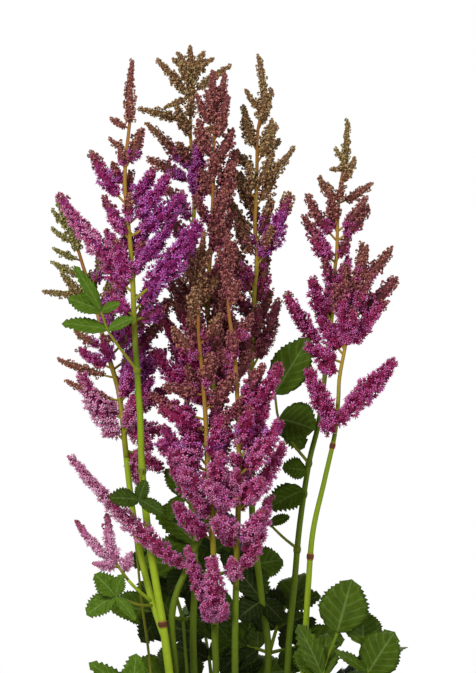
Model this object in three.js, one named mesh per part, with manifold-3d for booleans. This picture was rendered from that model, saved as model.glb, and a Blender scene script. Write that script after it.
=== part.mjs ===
// A flowering astilbe in a nursery pot: tall plumes of small florets on leafy stalks, above divided leaves.
// Millimetres, +Z up, front facing -Y. The origin is the centre of the pot's underside.

import * as THREE from 'three';
import Module from 'manifold-3d';

const wasm = await Module();
wasm.setup();

// ---------------------------------------------------------------- driving dimensions

const CLEARANCE = 0.3;
const GOLDEN_ANGLE = 2.39996;

const POT = {
  height: 170,
  footRadius: 72,
  topRadius: 92,
  lipRadius: 99,
  lipDrop: 18,
  wall: 2.5,
  floor: 3,
  sides: 20,
  drainRadius: 4.5,
  drainRing: 48,
  drains: 4,
  drainSides: 8,
};

// The soil's surface rises and falls by its relief, level at the rim and uneven towards the middle.
const SOIL = { top: 155, relief: 2.2, rings: 2, rimShare: 0.33, wave: [0.11, 0.09], ripple: [0.31, 0.23] };

// How deep stems stand in the soil, and where their paths start.
const ROOT_DEPTH = 22;
const SOIL_LINE = 150;
const HOLE_ABOVE_SOIL = 14;

// Tubes: how many sides, and the length of one step.
const STALK = { sides: 6, step: 42 };
const RACHIS = { sides: 4, step: 40 };
const PETIOLE = { sides: 5, step: 36 };
const PETIOLE_RADIUS = 1.3;
const POINT_LENGTH = 2.5;
const ARM_WIDTH = 2.2;

// A branch: its bare foot's share of the length, how full its florets are at that foot, how much they
// narrow at the tip, and the bend of its middle: [outwards, upwards] as shares of its reach.
const BRANCH = { bare: 0.27, foot: 0.72, narrowing: 0.55, bend: [0.55, 0.35] };
// A branch that meets another plume is cut back step by step, down to its shortest reach.
const CUT_BACK = { step: 0.85, shortest: 0.35 };
const CLEAR_OF_OTHERS = 0.7;
// How late a stem thins on its way up: 1 would be evenly.
const STEM_TAPER = 1.8;
// Floret sleeves: sides, one step in radii, the relief of buds and of open florets, and each ring's turn.
const FLORETS = { sides: 4, step: 2.3, relief: [0.2, 0.38], turn: 0.6 };

// A leaflet: the places of its teeth as shares of its length, and its section in millimetres and slopes.
const LEAFLET = {
  teeth: 3,
  firstTooth: 0.22,
  teethSpan: 0.6,
  toothPoint: 0.06,
  toothFoot: 0.1,
  notch: 0.76,
  thickness: 1.4,
  cleft: 2,
  fold: 0.16,
  droop: 0.2,
};

// A mound leaf: how fast it arches back, its petiole's bend, its three arms [heading, length] and the
// leaflets of each arm [turn, length, width].
const MOUND = {
  arch: [0.0042, 0.0026],
  knee: [0.35, 0.6],
  arms: [[0, 52], [74, 27], [-74, 27]],
  leaflets: [[0, 46, 30], [64, 35, 24], [-64, 35, 24]],
};

// ---------------------------------------------------------------- stems and plumes

// A stem is a path from the soil, or from the stem it forks off, to the tip of its plume.
// radius:  at the foot and at the tip.
// panicle: the height where the plume starts.
// spike:   [height where it starts, radius, openness] of the florets round the tip.
// branch:  [height on the stem, tip x, tip y, tip z, radius, openness].
// filler:  branches set by the golden angle. Pairs run from the lowest branch to the highest.
// bend:    of its branches, where they differ from the rest.
// Openness is 0 for tight buds and 1 for open florets.
const STEMS = [
  {
    name: 'front_left', stalk: 'left', radius: [2.8, 0.8], panicle: 491,
    path: [
      [-21, -14, 150], [-30, -24, 205], [-41, -32, 291], [-45.5, -34, 319], [-51.4, -38, 357],
      [-55.3, -40, 397], [-56.6, -42, 433], [-59.8, -44, 482], [-61.8, -45, 530], [-65.7, -45, 572],
      [-66, -45, 595], [-63, -44, 625], [-63.5, -43, 644], [-61.5, -43, 661.5],
    ],
    spike: [622, 4.2, 0.1],
    branches: [
      [507, -18, -62, 557, 10.5, 1], [522, -109, -38, 575, 8, 0.9], [569, -88, -40, 603, 6.5, 0.6],
      [566, -47.5, -52, 592, 7, 0.8], [548, -28, -55, 576, 8, 0.9], [592, -56, -40, 617, 6.5, 0.3],
      [546, -77, -52, 568, 5.5, 0.8], [494, -36, -24, 507, 7, 0.5], [604, -76, -40, 611, 3.5, 0],
      [618, -75, -46, 624, 3.5, 0], [556, -38, -62, 588, 7.5, 0.9], [526, -34, -50, 562, 7, 1],
      [512, -82, -30, 537, 7, 0.8], [497, -76, -34, 513, 6, 0.7], [580, -74, -36, 596, 5, 0.4],
    ],
    filler: { count: 5, span: [510, 600], reach: [22, 10], rise: [26, 14], radius: [6.5, 4.5],
      open: [0.8, 0.2], squeeze: 0.35 },
  },
  {
    name: 'back_left', stalk: 'left', radius: [2.2, 0.8], panicle: 405,
    path: [
      [-41, -32, 289], [-50.7, -28, 319], [-59.8, -20, 358.6], [-64.4, -15, 392], [-69.6, -10, 440],
      [-73.5, -9, 458], [-80.6, -8, 481], [-85.8, -7, 504], [-93.6, -6, 528], [-98.8, -5, 544.5],
      [-105.3, -5, 559.5], [-111, -5, 574],
    ],
    spike: [540, 4.2, 0.1],
    branches: [
      [416, -96, -14, 460, 9, 1], [436, -41, 10, 449, 8, 0.8], [452, -50.7, 10, 488, 8, 0.7],
      [423, -44, 4, 423, 8, 0.8], [410, -43, -4, 397, 7, 0.8], [463, -97, -4, 476, 5.5, 0.8],
      [501, -67, -12, 514, 6, 0.3], [457, -110, -10, 469, 4, 0.1], [442, -105, -16, 455, 4, 0.1],
      [476, -98.8, -12, 487, 4.5, 0.3], [510, -119.6, -5, 513, 3.7, 0], [533, -113, -8, 541, 3.2, 0],
      [544, -114.4, -2, 554, 3, 0], [554, -114, -6, 566, 3, 0], [487, -68, -16, 528, 7.5, 0.5],
      [504, -108, -8, 525, 4.5, 0.1], [516, -78, -2, 539, 6, 0.3], [478, -64, 4, 501, 7.5, 0.8],
      [448, -57, -22, 477, 7.5, 0.9], [430, -84, -2, 447, 7, 0.9], [522, -114, -8, 532, 3.5, 0],
    ],
    filler: { count: 4, span: [430, 520], reach: [24, 12], rise: [24, 16], radius: [7, 4.5],
      open: [0.8, 0.2], squeeze: 0.35 },
  },
  {
    name: 'side_shoot', stalk: 'left', radius: [1.1, 0.7], panicle: 327,
    path: [
      [-48.6, -29, 312], [-60, -40, 322], [-68, -44, 332], [-75, -46, 345], [-78, -46, 369],
    ],
    spike: [338, 5, 0.7],
    branches: [
      [336, -97.5, -46, 364.5, 4.5, 0.7], [331, -63.5, -48, 344, 5.5, 0.9],
      [335, -86, -52, 338, 4.5, 0.8],
    ],
  },
  {
    name: 'top_back', stalk: 'top_back', radius: [2.4, 0.8], panicle: 545, bend: [0.45, 0.6],
    path: [
      [-10, 8, 150], [-22, 4, 265], [-21.5, 6, 338], [-24.7, 8, 390], [-27.3, 12, 429],
      [-24.7, 15, 465], [-24.7, 20, 501], [-23.4, 22, 533], [-22, 24, 576], [-23.4, 25, 598],
      [-24.7, 25, 621], [-24, 25, 637], [-24.7, 25, 673],
    ],
    spike: [640, 4.4, 0],
    branches: [
      [569, -18, 5, 607.5, 7, 1], [582, -52.6, 26, 600, 5.5, 0.4], [587, -53, 18, 622.5, 5, 0.3],
      [623, -58, 10, 632, 4.2, 0], [637, -46, 22, 664, 4.5, 0], [641, 1, 28, 660.5, 4, 0],
      [654, -36, 30, 665, 4.2, 0], [655, -10, 22, 665, 4.2, 0], [641, -41, 18, 633.5, 3.5, 0],
      [645, -31, 15, 662, 4.5, 0], [648, -17, 32, 664, 4.5, 0], [612, -34, 14, 634, 5, 0],
    ],
    filler: { count: 7, span: [550, 630], reach: [22, 11], rise: [26, 14], radius: [6.5, 4.5],
      open: [0.5, 0], squeeze: 0.8 },
  },
  {
    name: 'centre_tall', stalk: 'centre_tall', radius: [2.4, 0.8], panicle: 425,
    path: [
      [-24, 0, 150], [-28, -8, 205], [-33.8, -20, 265], [-35.8, -30, 306.6], [-24.7, -27, 338.5],
      [-12.4, -20, 370], [-9.1, -14, 410], [-9.1, -8, 442], [-11.7, -5, 485], [-13, -5, 507],
      [-9.8, -5, 572], [-9.1, -8, 618], [-9.8, -10, 655.6],
    ],
    spike: [625, 4.5, 0],
    branches: [
      [436, -48, -14, 474, 8.5, 0.9], [455, -43, -4, 497, 8, 0.7], [474, -36, -18, 508, 7, 0.6],
      [596, 3, -6, 618, 6, 0], [618, -20, -12, 640, 4.8, 0], [614, 0, -14, 640, 5, 0],
    ],
    filler: { count: 22, span: [430, 634], reach: [23, 8], rise: [30, 14], radius: [7.8, 4.6],
      open: [0.45, 0], squeeze: 1 },
  },
  {
    name: 'centre_front', stalk: 'centre_front', radius: [2.4, 0.8], panicle: 297,
    path: [
      [-8, -18, 150], [-7.8, -20, 265], [-8.5, -21, 286.5], [-9.1, -25, 338.5], [-11, -30, 371],
      [-13, -33, 397], [-14.3, -35, 429.5], [-16.3, -36, 458.7], [-18.9, -37, 488],
      [-18.2, -38, 520.5], [-15.6, -38, 551.6],
    ],
    spike: [505, 4.5, 0],
    branches: [
      [299, -9.8, -62, 341.7, 8.2, 1], [323, -100.75, -76, 407, 7, 1], [305, -26, -58, 348, 7, 1],
      [384, -30, -55, 397, 8.5, 1], [381, -4, -58, 408.6, 8.5, 1], [397, -45.5, -50, 416.5, 9, 0.95],
      [423, -44, -50, 439, 7.5, 0.6], [416, 15.6, -62, 453.5, 6.5, 0], [446, -41, -45, 452, 6, 0.1],
      [436, 4.5, -56, 460.6, 6.5, 0.1], [299, -16, -50, 311, 5.5, 1], [299, -1, -50, 311, 5.5, 1],
      [400, -31, -40, 432, 8, 0.9], [372, -37, -42, 404, 8, 1], [402, -3, -48, 434, 7.5, 0.7],
      [430, -50, -36, 446, 6, 0.4], [352, -34, -46, 376, 7.5, 1],
    ],
    filler: { count: 9, span: [444, 532], reach: [20, 9], rise: [24, 12], radius: [6.6, 4.4],
      open: [0.25, 0], squeeze: 1 },
  },
  {
    name: 'centre_right', stalk: 'centre_right', radius: [2.4, 0.8], panicle: 321,
    path: [
      [6, -30, 150], [4.6, -34, 265], [5.2, -38, 323.5], [6.5, -42, 364], [7.2, -44, 410],
      [5.9, -45, 449], [3.9, -45, 477.5], [0.7, -44, 499], [0, -44, 527], [0, -44, 551.6],
    ],
    spike: [510, 4.5, 0],
    branches: [
      [325.5, 26.7, -50, 380.7, 7.5, 0.95], [371, 36.4, -36, 415, 7, 0.9], [377.5, 22, -68, 392, 9, 1],
      [374, -13.7, -72, 388.5, 9, 1], [358, -8.5, -66, 366, 8.5, 1], [394, 33.8, -62, 429.5, 8.5, 0.95],
      [426, 33.8, -52, 466, 7.5, 0.8], [328, 2.6, -60, 340, 7, 1], [400, -4, -66, 422, 8, 0.9],
      [404, 24, -46, 441, 8, 0.8], [412, 14, -62, 438, 7.5, 0.7], [420, 18, -34, 452, 7, 0.4],
      [350, 22, -60, 372, 7.5, 1],
    ],
    filler: { count: 8, span: [436, 534], reach: [18, 8], rise: [24, 12], radius: [6.6, 4.4],
      open: [0.35, 0], squeeze: 1 },
  },
  {
    name: 'right_centre', stalk: 'right_centre', radius: [2.4, 0.8], panicle: 455,
    path: [
      [14, 6, 150], [26, 3, 265], [22, 2, 312], [16, 2, 364], [15.6, 4, 410], [14.3, 8, 442.5],
      [16.3, 12, 481.5], [16.9, 14, 507.5], [18.9, 15, 533.5], [17.6, 15, 556],
      [18.2, 15, 572.5], [18.9, 15, 595], [19.5, 15, 618], [23.6, 15, 637.5], [22, 15, 654],
      [19.8, 15, 666.7],
    ],
    spike: [626, 4, 0],
    branches: [
      [530, 40.3, 10, 577, 8, 0.6], [501, 25, 24, 535, 7, 0.5], [480, 20, 4, 503, 6, 0.8],
      [465, 18, 14, 488, 6, 0.6], [582, 43, 12, 607, 4.5, 0.1], [592, 3.3, 18, 605, 5.5, 0.1],
      [605, 9.8, 12, 625.7, 5, 0.1], [602, 33.8, 22, 612, 4.5, 0], [618, 28.6, 18, 645, 4, 0],
      [574, 3, 12, 592, 6, 0.1], [545, 28, 20, 574, 6, 0.3], [540, 6, 8, 558, 6.5, 0.3],
      [515, 4, 14, 537, 7, 0.5], [494, 5, 16, 515, 7, 0.6], [568, 32, 22, 596, 5.5, 0.1],
      [630, 12, 14, 644, 3.5, 0], [597, 31, 8, 622, 5, 0],
    ],
    filler: { count: 6, span: [476, 612], reach: [20, 9], rise: [28, 14], radius: [7, 4],
      open: [0.5, 0], squeeze: 0.8 },
  },
  {
    name: 'right_back', stalk: 'right_back', radius: [2.3, 0.7], panicle: 468,
    path: [
      [28, 16, 150], [38.4, 6, 265], [39.7, 6, 286.5], [43.4, 7, 325.5], [46.6, 8, 360.6],
      [52.7, 8, 401.5], [59.3, 8, 429.5], [65, 9, 475], [68.3, 10, 503], [69.5, 10, 525.7],
      [70.9, 10, 539], [71.5, 11, 559.5], [72.8, 11, 580], [76, 12, 598], [77.2, 12, 611],
      [78, 12, 624.5],
    ],
    spike: [592, 3.6, 0],
    branches: [
      [473.6, 38, 2, 512, 7, 0.7], [494, 54, 0, 521.8, 7.5, 0.9], [532, 55, 4, 548, 7, 0.6],
      [546, 91.7, 12, 568.5, 6, 0.3], [546, 51.4, 6, 575.7, 5.5, 0.3],
      [570.5, 93.6, 14, 583.5, 4.5, 0.1], [572, 59.2, 8, 587, 4.8, 0.1], [582, 82.6, 10, 600, 4, 0],
      [593, 67.6, 14, 592.6, 3, 0], [536, 49, 10, 562, 5.5, 0.4], [512, 79, 16, 535, 6.5, 0.9],
      [598, 70, 8, 606, 3, 0],
    ],
    filler: { count: 5, span: [485, 580], reach: [19, 9], rise: [24, 12], radius: [6.5, 4],
      open: [0.6, 0], squeeze: 0.6 },
  },
  {
    name: 'right_front', stalk: 'right_front', radius: [2.3, 0.7], panicle: 421,
    path: [
      [32, -6, 150], [48.8, -8, 265], [50, -9, 286.5], [52.3, -10, 325.5], [55.2, -12, 358],
      [62.5, -17, 390.5], [69.4, -20, 421.7], [71.4, -21, 442.5], [72.2, -22, 457], [75.7, -23, 476],
      [80.6, -24, 501], [83.9, -25, 523.7], [87, -25, 544.5],
    ],
    spike: [502, 4.6, 0.1],
    branches: [
      [426, 52, -26, 463, 8.5, 1], [434.6, 107.9, -24, 468.5, 8.8, 1], [424, 61, -32, 428, 7.5, 1],
      [427, 76, -28, 436, 6.5, 1], [494.5, 108.6, -20, 521.8, 7.5, 0.4],
      [488, 69.6, -32, 517, 6.5, 0.3], [485, 101.4, -30, 506, 6, 0.6], [467, 50.7, -26, 478, 7.5, 1],
      [517, 106, -24, 541, 5.5, 0.2], [461, 58.5, -24, 465, 6, 1], [478, 93, -26, 493, 5.5, 0.9],
      [472, 60, -20, 496, 7, 1], [520, 90, -30, 542, 4.5, 0.2],
    ],
    filler: { count: 5, span: [470, 520], reach: [18, 10], rise: [18, 12], radius: [6.5, 4.4],
      open: [0.7, 0.2], squeeze: 0.5 },
  },
];

// ---------------------------------------------------------------- leaves

// A stem leaf is fused to the stalk it grows from. Petioles are paths that start in the stalk, and a fan
// is leaflets that spread from one hub at a petiole's end: [hub, [leaflet tip, width], ...].
const STEM_LEAVES = {
  left: [
    {
      petioles: [[[-58.5, -43.5, 462], [-70, -50, 477], [-77.3, -53, 488], [-81.4, -55, 500]]],
      fans: [
        [[-81.4, -55, 500], [[-99.1, -58, 529.6], 9], [[-103.4, -57, 508], 14], [[-68.9, -59, 505], 8]],
        [[-77.3, -53, 488], [[-107, -56, 491.9], 11], [[-59.8, -55, 495.8], 8]],
      ],
    },
    {
      petioles: [[[-55, -40.5, 396], [-55.5, -53, 397], [-57, -66, 379]]],
      fans: [
        [[-57, -66, 379], [[-52.6, -67, 392], 9], [[-76.7, -75, 380], 13], [[-41, -70, 369.7], 10]],
      ],
    },
    {
      petioles: [[[-48.5, -29.5, 310], [-58, -44, 311], [-72.6, -52, 317]]],
      fans: [
        [[-72.6, -52, 317], [[-86, -54, 331], 15], [[-68, -55, 331], 9], [[-91, -54, 304.5], 15],
          [[-59, -56, 301], 8]],
      ],
    },
  ],
  top_back: [
    {
      petioles: [[[-24, 7.4, 374], [-30, 2, 380]]],
      fans: [[[-30, 2, 380], [[-41, 0, 398], 11], [[-39, -2, 364], 11], [[-21, -3, 400], 9]]],
    },
  ],
  right_back: [
    {
      petioles: [
        [[52.4, 8, 401.5], [40.3, 5, 416.5], [33, 4, 430], [30.5, 3, 446]],
        [[45.2, 7.6, 345.6], [36, 5, 353], [27, 4, 361.8]],
      ],
      fans: [
        [[30.5, 3, 446], [[53, 1, 483], 23]],
        [[33, 4, 430], [[57, -3, 423], 27], [[50, 12, 411], 18]],
        [[51.6, 8, 396], [[35, 4, 398], 16]],
        [[49.3, 8, 384], [[26.5, 2, 372], 19]],
        [[27, 4, 361.8], [[40.5, 1, 366.5], 8]],
      ],
    },
  ],
};

// Leaves that rise from the soil with their own petioles, placed fan by fan.
const LONE_LEAVES = [
  {
    name: 'leaf_right',
    petioles: [
      [[44, -26, 150], [56, -28, 215], [61, -26, 264], [70.7, -24, 292]],
      [[56, -28, 215], [80, -24, 242], [90.9, -22, 266]],
      [[90.9, -22, 265], [87.5, -21, 284]],
    ],
    fans: [
      [[70.7, -24, 292], [[80.1, -27, 327], 29]],
      [[87.5, -21, 284], [[87, -12, 306], 22]],
      [[90.9, -22, 266], [[108, -28, 293], 26], [[68.2, -36, 281], 8]],
      [[61, -26, 264], [[64, -12, 291], 18], [[43, -20, 280], 17], [[45, -30, 298], 16]],
    ],
  },
  {
    name: 'leaf_left',
    petioles: [[[-40, -28, 150], [-50, -42, 215], [-62, -48, 252]]],
    fans: [
      [[-62, -48, 252], [[-89.7, -52, 274], 14], [[-59, -52, 280], 16], [[-92, -56, 247], 14],
        [[-38, -62, 262], 12]],
    ],
  },
];

// Mound leaves: azimuth in degrees, root radius, hub radius, hub height, pitch in degrees, size.
const MOUND_LEAVES = [
  { azimuth: 62, root: 44, hub: 58, height: 276, pitch: 62, size: 0.7 },
  { azimuth: 126, root: 40, hub: 50, height: 298, pitch: 66, size: 0.72 },
  { azimuth: 98, root: 48, hub: 76, height: 254, pitch: 54, size: 0.84 },
  { azimuth: 154, root: 44, hub: 60, height: 226, pitch: 38, size: 0.82 },
  { azimuth: 104, root: 28, hub: 30, height: 328, pitch: 62, size: 0.68 },
  { azimuth: 34, root: 48, hub: 70, height: 240, pitch: 46, size: 0.8 },
  { azimuth: 185, root: 48, hub: 78, height: 222, pitch: 8, size: 0.9 },
  { azimuth: 284, root: 50, hub: 72, height: 210, pitch: 6, size: 0.92 },
  { azimuth: 14, root: 48, hub: 80, height: 216, pitch: 8, size: 0.9 },
];

// ---------------------------------------------------------------- materials

const MATERIALS = {
  pot: { color: 0x2b2c2e, roughness: 0.5, metalness: 0 },
  soil: { color: 0x3a2a1e, roughness: 1, metalness: 0 },
  stalk: { color: 0x8fae35, roughness: 0.5, metalness: 0 },
  leaf: { color: 0x2f5f1c, roughness: 0.45, metalness: 0 },
  plume: { color: 0xa8478f, roughness: 0.8, metalness: 0 },
};

// ---------------------------------------------------------------- small helpers

const vector = ([x, y, z]) => new THREE.Vector3(x, y, z);
const mix = THREE.MathUtils.lerp;

// A repeatable random number from 0 to 1 for a pair of whole numbers.
function chance(i, j) {
  const wave = Math.sin(i * 127.1 + j * 311.7) * 43758.5453;
  return wave - Math.floor(wave);
}

function curveThrough(points) {
  return new THREE.CatmullRomCurve3(points, false, 'catmullrom', 0.5);
}

// The share of a rising curve's length at which it reaches a height.
function shareAtHeight(curve, height) {
  let low = 0;
  let high = 1;
  for (let step = 0; step < 30; step++) {
    const middle = (low + high) / 2;
    if (curve.getPointAt(middle).z < height) low = middle;
    else high = middle;
  }
  return (low + high) / 2;
}

function solidOf(points, faces) {
  const geometry = new THREE.BufferGeometry().setFromPoints(points).setIndex(faces.flat());
  return solidFrom(geometry);
}

function solidFrom(geometry) {
  const vertProperties = new Float32Array(geometry.attributes.position.array);
  const triVerts = new Uint32Array(geometry.index.array);
  return new wasm.Manifold(new wasm.Mesh({ numProp: 3, vertProperties, triVerts }));
}

function geometryFrom(solid) {
  const { vertProperties, triVerts } = solid.getMesh();
  const geometry = new THREE.BufferGeometry();
  geometry.setAttribute('position', new THREE.BufferAttribute(vertProperties, 3));
  geometry.setIndex(new THREE.BufferAttribute(triVerts, 1));
  return geometry;
}

// ---------------------------------------------------------------- lofts

// A ring of points square to a direction, with a radius for each point.
function ring(centre, direction, radii, turn = 0) {
  const aside = Math.abs(direction.z) < 0.75 ? new THREE.Vector3(0, 0, 1) : new THREE.Vector3(0, 1, 0);
  const across = new THREE.Vector3().crossVectors(aside, direction).normalize();
  const upright = new THREE.Vector3().crossVectors(direction, across);
  return radii.map((radius, index) => {
    const angle = turn + (index / radii.length) * 2 * Math.PI;
    return centre.clone()
      .addScaledVector(across, radius * Math.cos(angle))
      .addScaledVector(upright, radius * Math.sin(angle));
  });
}

// A closed skin through rings of equal count. Each end is a flat cap, or runs out to a point.
function loft(rings, { tail, nose } = {}) {
  const count = rings[0].length;
  const points = rings.flat();
  const faces = [];
  for (let row = 0; row + 1 < rings.length; row++) {
    for (let index = 0; index < count; index++) {
      const a = row * count + index;
      const b = row * count + ((index + 1) % count);
      faces.push([a, b, b + count], [a, b + count, a + count]);
    }
  }
  const last = points.length - count;
  faces.push(...loftEnd(points, 0, count, tail).map((face) => face.reverse()));
  faces.push(...loftEnd(points, last, count, nose));
  return solidOf(points, faces);
}

// The faces that close one ring of a loft, with a fan to a point where there is one.
function loftEnd(points, first, count, point) {
  const faces = [];
  if (point) {
    const apex = points.push(point) - 1;
    for (let index = 0; index < count; index++) {
      faces.push([first + index, first + ((index + 1) % count), apex]);
    }
  } else {
    for (let index = 1; index + 1 < count; index++) faces.push([first, first + index, first + index + 1]);
  }
  return faces;
}

// A round tapering tube along a curve, between two shares of its length. A rooted one first runs straight
// up out of the soil, and a pointed one ends in a point.
function tube(curve, from, to, radiusAt, { sides, step, rooted, pointed }) {
  const count = Math.max(2, Math.round((curve.getLength() * (to - from)) / step) + 1);
  const last = pointed ? to - POINT_LENGTH / curve.getLength() : to;
  const rings = [];
  if (rooted) {
    const direction = curve.getTangentAt(0);
    const bottom = curve.getPointAt(0).addScaledVector(direction, -ROOT_DEPTH);
    rings.push(ring(bottom, direction, new Array(sides).fill(radiusAt(0))));
  }
  for (let index = 0; index < count; index++) {
    const share = mix(from, last, index / (count - 1));
    const radii = new Array(sides).fill(radiusAt(share));
    rings.push(ring(curve.getPointAt(share), curve.getTangentAt(share), radii));
  }
  return loft(rings, { nose: pointed ? curve.getPointAt(to) : undefined });
}

// The plain hole that a rooted tube stands in, a clearance wider and deeper than its foot.
function rootHole(curve, radius, sides) {
  const direction = curve.getTangentAt(0);
  const bottom = curve.getPointAt(0).addScaledVector(direction, -ROOT_DEPTH - CLEARANCE);
  const top = bottom.clone().addScaledVector(direction, ROOT_DEPTH + SOIL.top - SOIL_LINE + HOLE_ABOVE_SOIL);
  const radii = new Array(sides).fill((radius + CLEARANCE) / Math.cos(Math.PI / sides));
  return loft([ring(bottom, direction, radii), ring(top, direction, radii)]);
}

// ---------------------------------------------------------------- branches of a plume

// A curved side branch. Most leave the stem outwards and then rise, and arching ones rise first.
function branchCurve(base, tip, [outwards, upwards]) {
  const bend = new THREE.Vector3(outwards, outwards, upwards);
  const control = tip.clone().sub(base).multiply(bend).add(base);
  return new THREE.QuadraticBezierCurve3(base, control, tip);
}

// The florets' outer radius along a branch: quickly full, then narrowing to a blunt tip.
function floretRadius(branch, share) {
  const { bare, foot, narrowing } = BRANCH;
  const along = (share - bare) / (1 - bare);
  if (along < 0) return (branch.radius * foot * share) / bare;
  return branch.radius * (1 - narrowing * along ** 1.6) * mix(foot, 1, Math.min(1, along * 4));
}

// Balls along a branch that hold its florets, for telling whether two plumes meet.
function ballsOf(branch) {
  const balls = [];
  const count = Math.max(4, Math.ceil((branch.curve.getLength() / branch.radius) * 1.5));
  for (let index = 1; index <= count; index++) {
    const share = index / count;
    const radius = floretRadius(branch, share) + CLEAR_OF_OTHERS / 2;
    balls.push({ centre: branch.curve.getPoint(share), radius });
  }
  return balls;
}

function meets(balls, others) {
  return balls.some((ball) => others.some((other) =>
    ball.centre.distanceTo(other.centre) < ball.radius + other.radius));
}

// Balls along a stem that other plumes keep clear of, with an even taper.
function stemBalls(stem) {
  const balls = [];
  for (let share = 0; share <= 1; share += 0.01) {
    const radius = mix(stem.radius[0], stem.radius[1], share) + CLEAR_OF_OTHERS / 2;
    balls.push({ centre: stem.curve.getPointAt(share), radius });
  }
  return balls;
}

// A stem keeps most of its thickness up to its plume and thins towards the tip.
function stemRadius(stem, share) {
  return mix(stem.radius[0], stem.radius[1], share ** STEM_TAPER);
}

// The rows of a stem's rule-set branches, each like a row of its branches.
function fillerRows(stem, order) {
  const { count, span, reach, rise, radius, open, squeeze } = stem.filler;
  const rows = [];
  for (let index = 0; index < count; index++) {
    const share = (index + 0.5) / count;
    const height = mix(span[0], span[1], share);
    const angle = index * GOLDEN_ANGLE + order;
    const length = mix(reach[0], reach[1], share) * (0.85 + 0.3 * chance(order, index));
    const base = stem.curve.getPointAt(shareAtHeight(stem.curve, height));
    rows.push([
      height,
      base.x + length * Math.cos(angle) * squeeze,
      base.y + length * Math.sin(angle),
      height + mix(rise[0], rise[1], share),
      mix(radius[0], radius[1], share),
      mix(open[0], open[1], share),
    ]);
  }
  return rows;
}

// Shortens a branch until it clears every other plume, and leaves it out where even a stub would meet one.
function growBranch(stem, row, grown) {
  const [height, x, y, z, radius, open] = row;
  const base = stem.curve.getPointAt(shareAtHeight(stem.curve, height));
  for (let reach = 1; reach > CUT_BACK.shortest; reach *= CUT_BACK.step) {
    const tip = base.clone().lerp(new THREE.Vector3(x, y, z), reach);
    const branch = { curve: branchCurve(base, tip, stem.bend ?? BRANCH.bend), radius: radius * (0.5 + 0.5 * reach), open };
    const balls = ballsOf(branch);
    const others = grown.filter((entry) => entry.stem !== stem);
    if (!others.some((entry) => meets(balls, entry.balls))) {
      grown.push({ stem, balls });
      stem.grownBranches.push(branch);
      return;
    }
  }
}

// Works out every stem's curve and branches: named branches first, then the rule-set ones.
function growStems() {
  for (const stem of STEMS) {
    stem.curve = curveThrough(stem.path.map(vector));
    stem.panicleShare = shareAtHeight(stem.curve, stem.panicle);
    stem.grownBranches = [];
  }
  const grown = STEMS.map((stem) => ({ stem, balls: stemBalls(stem) }));
  STEMS.forEach((stem) => stem.branches.forEach((row) => growBranch(stem, row, grown)));
  STEMS.forEach((stem, order) => {
    if (stem.filler) fillerRows(stem, order).forEach((row) => growBranch(stem, row, grown));
  });
}

// The lumpy sleeve of florets round a curve: each ring's points stand in and out by turns.
function floretSleeve(curve, from, radiusAt, step, open, seed) {
  const rings = [];
  const count = Math.max(2, Math.round((curve.getLength() * (1 - from)) / step));
  const depth = mix(FLORETS.relief[0], FLORETS.relief[1], open);
  for (let row = 0; row < count; row++) {
    const share = mix(from, 1, row / count);
    const radii = [];
    for (let index = 0; index < FLORETS.sides; index++) {
      const inset = ((index + row) % 2) * 0.6 + 0.4 * chance(seed + row, index);
      radii.push(radiusAt(share) * (1 - depth * inset));
    }
    rings.push(ring(curve.getPointAt(share), curve.getTangentAt(share), radii, row * FLORETS.turn));
  }
  return rings;
}

function branchSolid(branch, seed) {
  const { curve, radius, open } = branch;
  const radiusAt = (share) => floretRadius(branch, share);
  const rings = floretSleeve(curve, BRANCH.bare, radiusAt, radius * FLORETS.step, open, seed);
  return loft(rings, { tail: curve.getPointAt(0), nose: curve.getPointAt(1) });
}

// The florets round the upper end of a stem.
function spikeSolid(stem, seed) {
  const [height, radius, open] = stem.spike;
  const from = shareAtHeight(stem.curve, height);
  const radiusAt = (share) => radius * (1 - 0.5 * ((share - from) / (1 - from)) ** 2);
  const rings = floretSleeve(stem.curve, from, radiusAt, radius * FLORETS.step, open, seed);
  const tail = stem.curve.getPointAt(from - radius / stem.curve.getLength());
  return loft(rings, { tail, nose: stem.curve.getPointAt(1) });
}

function plumeSolid(stem, order) {
  const gap = CLEARANCE / stem.curve.getLength();
  const radiusAt = (share) => stemRadius(stem, share);
  const rachis = tube(stem.curve, stem.panicleShare + gap, 0.985, radiusAt, RACHIS);
  const pieces = stem.grownBranches.map((branch, index) => branchSolid(branch, order * 50 + index));
  return wasm.Manifold.union([rachis, spikeSolid(stem, order * 50 + 49), ...pieces]);
}

// ---------------------------------------------------------------- leaves

// Half the outline of a toothed leaflet as [share of its length, share of its half width].
function leafletEdge() {
  const { teeth, firstTooth, teethSpan, toothPoint, toothFoot, notch } = LEAFLET;
  const edge = [];
  const swell = (share) => Math.sin(Math.PI * share ** 0.8) ** 0.75;
  for (let tooth = 0; tooth < teeth; tooth++) {
    const share = firstTooth + (teethSpan * tooth) / (teeth - 1);
    edge.push([share + toothPoint, swell(share)]);
    edge.push([share + toothFoot, swell(share + toothPoint) * notch]);
  }
  return edge;
}

// What a fan holds: toothed leaflets, and plain arms that tie it to the hub of the whole leaf.
const TOOTHED = { ribs: [0.35, 0.7], edge: leafletEdge(), droop: LEAFLET.droop };
const ARM = { ribs: [0.08, 0.9], edge: [[0.08, 1], [0.9, 1]], droop: 0 };

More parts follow.
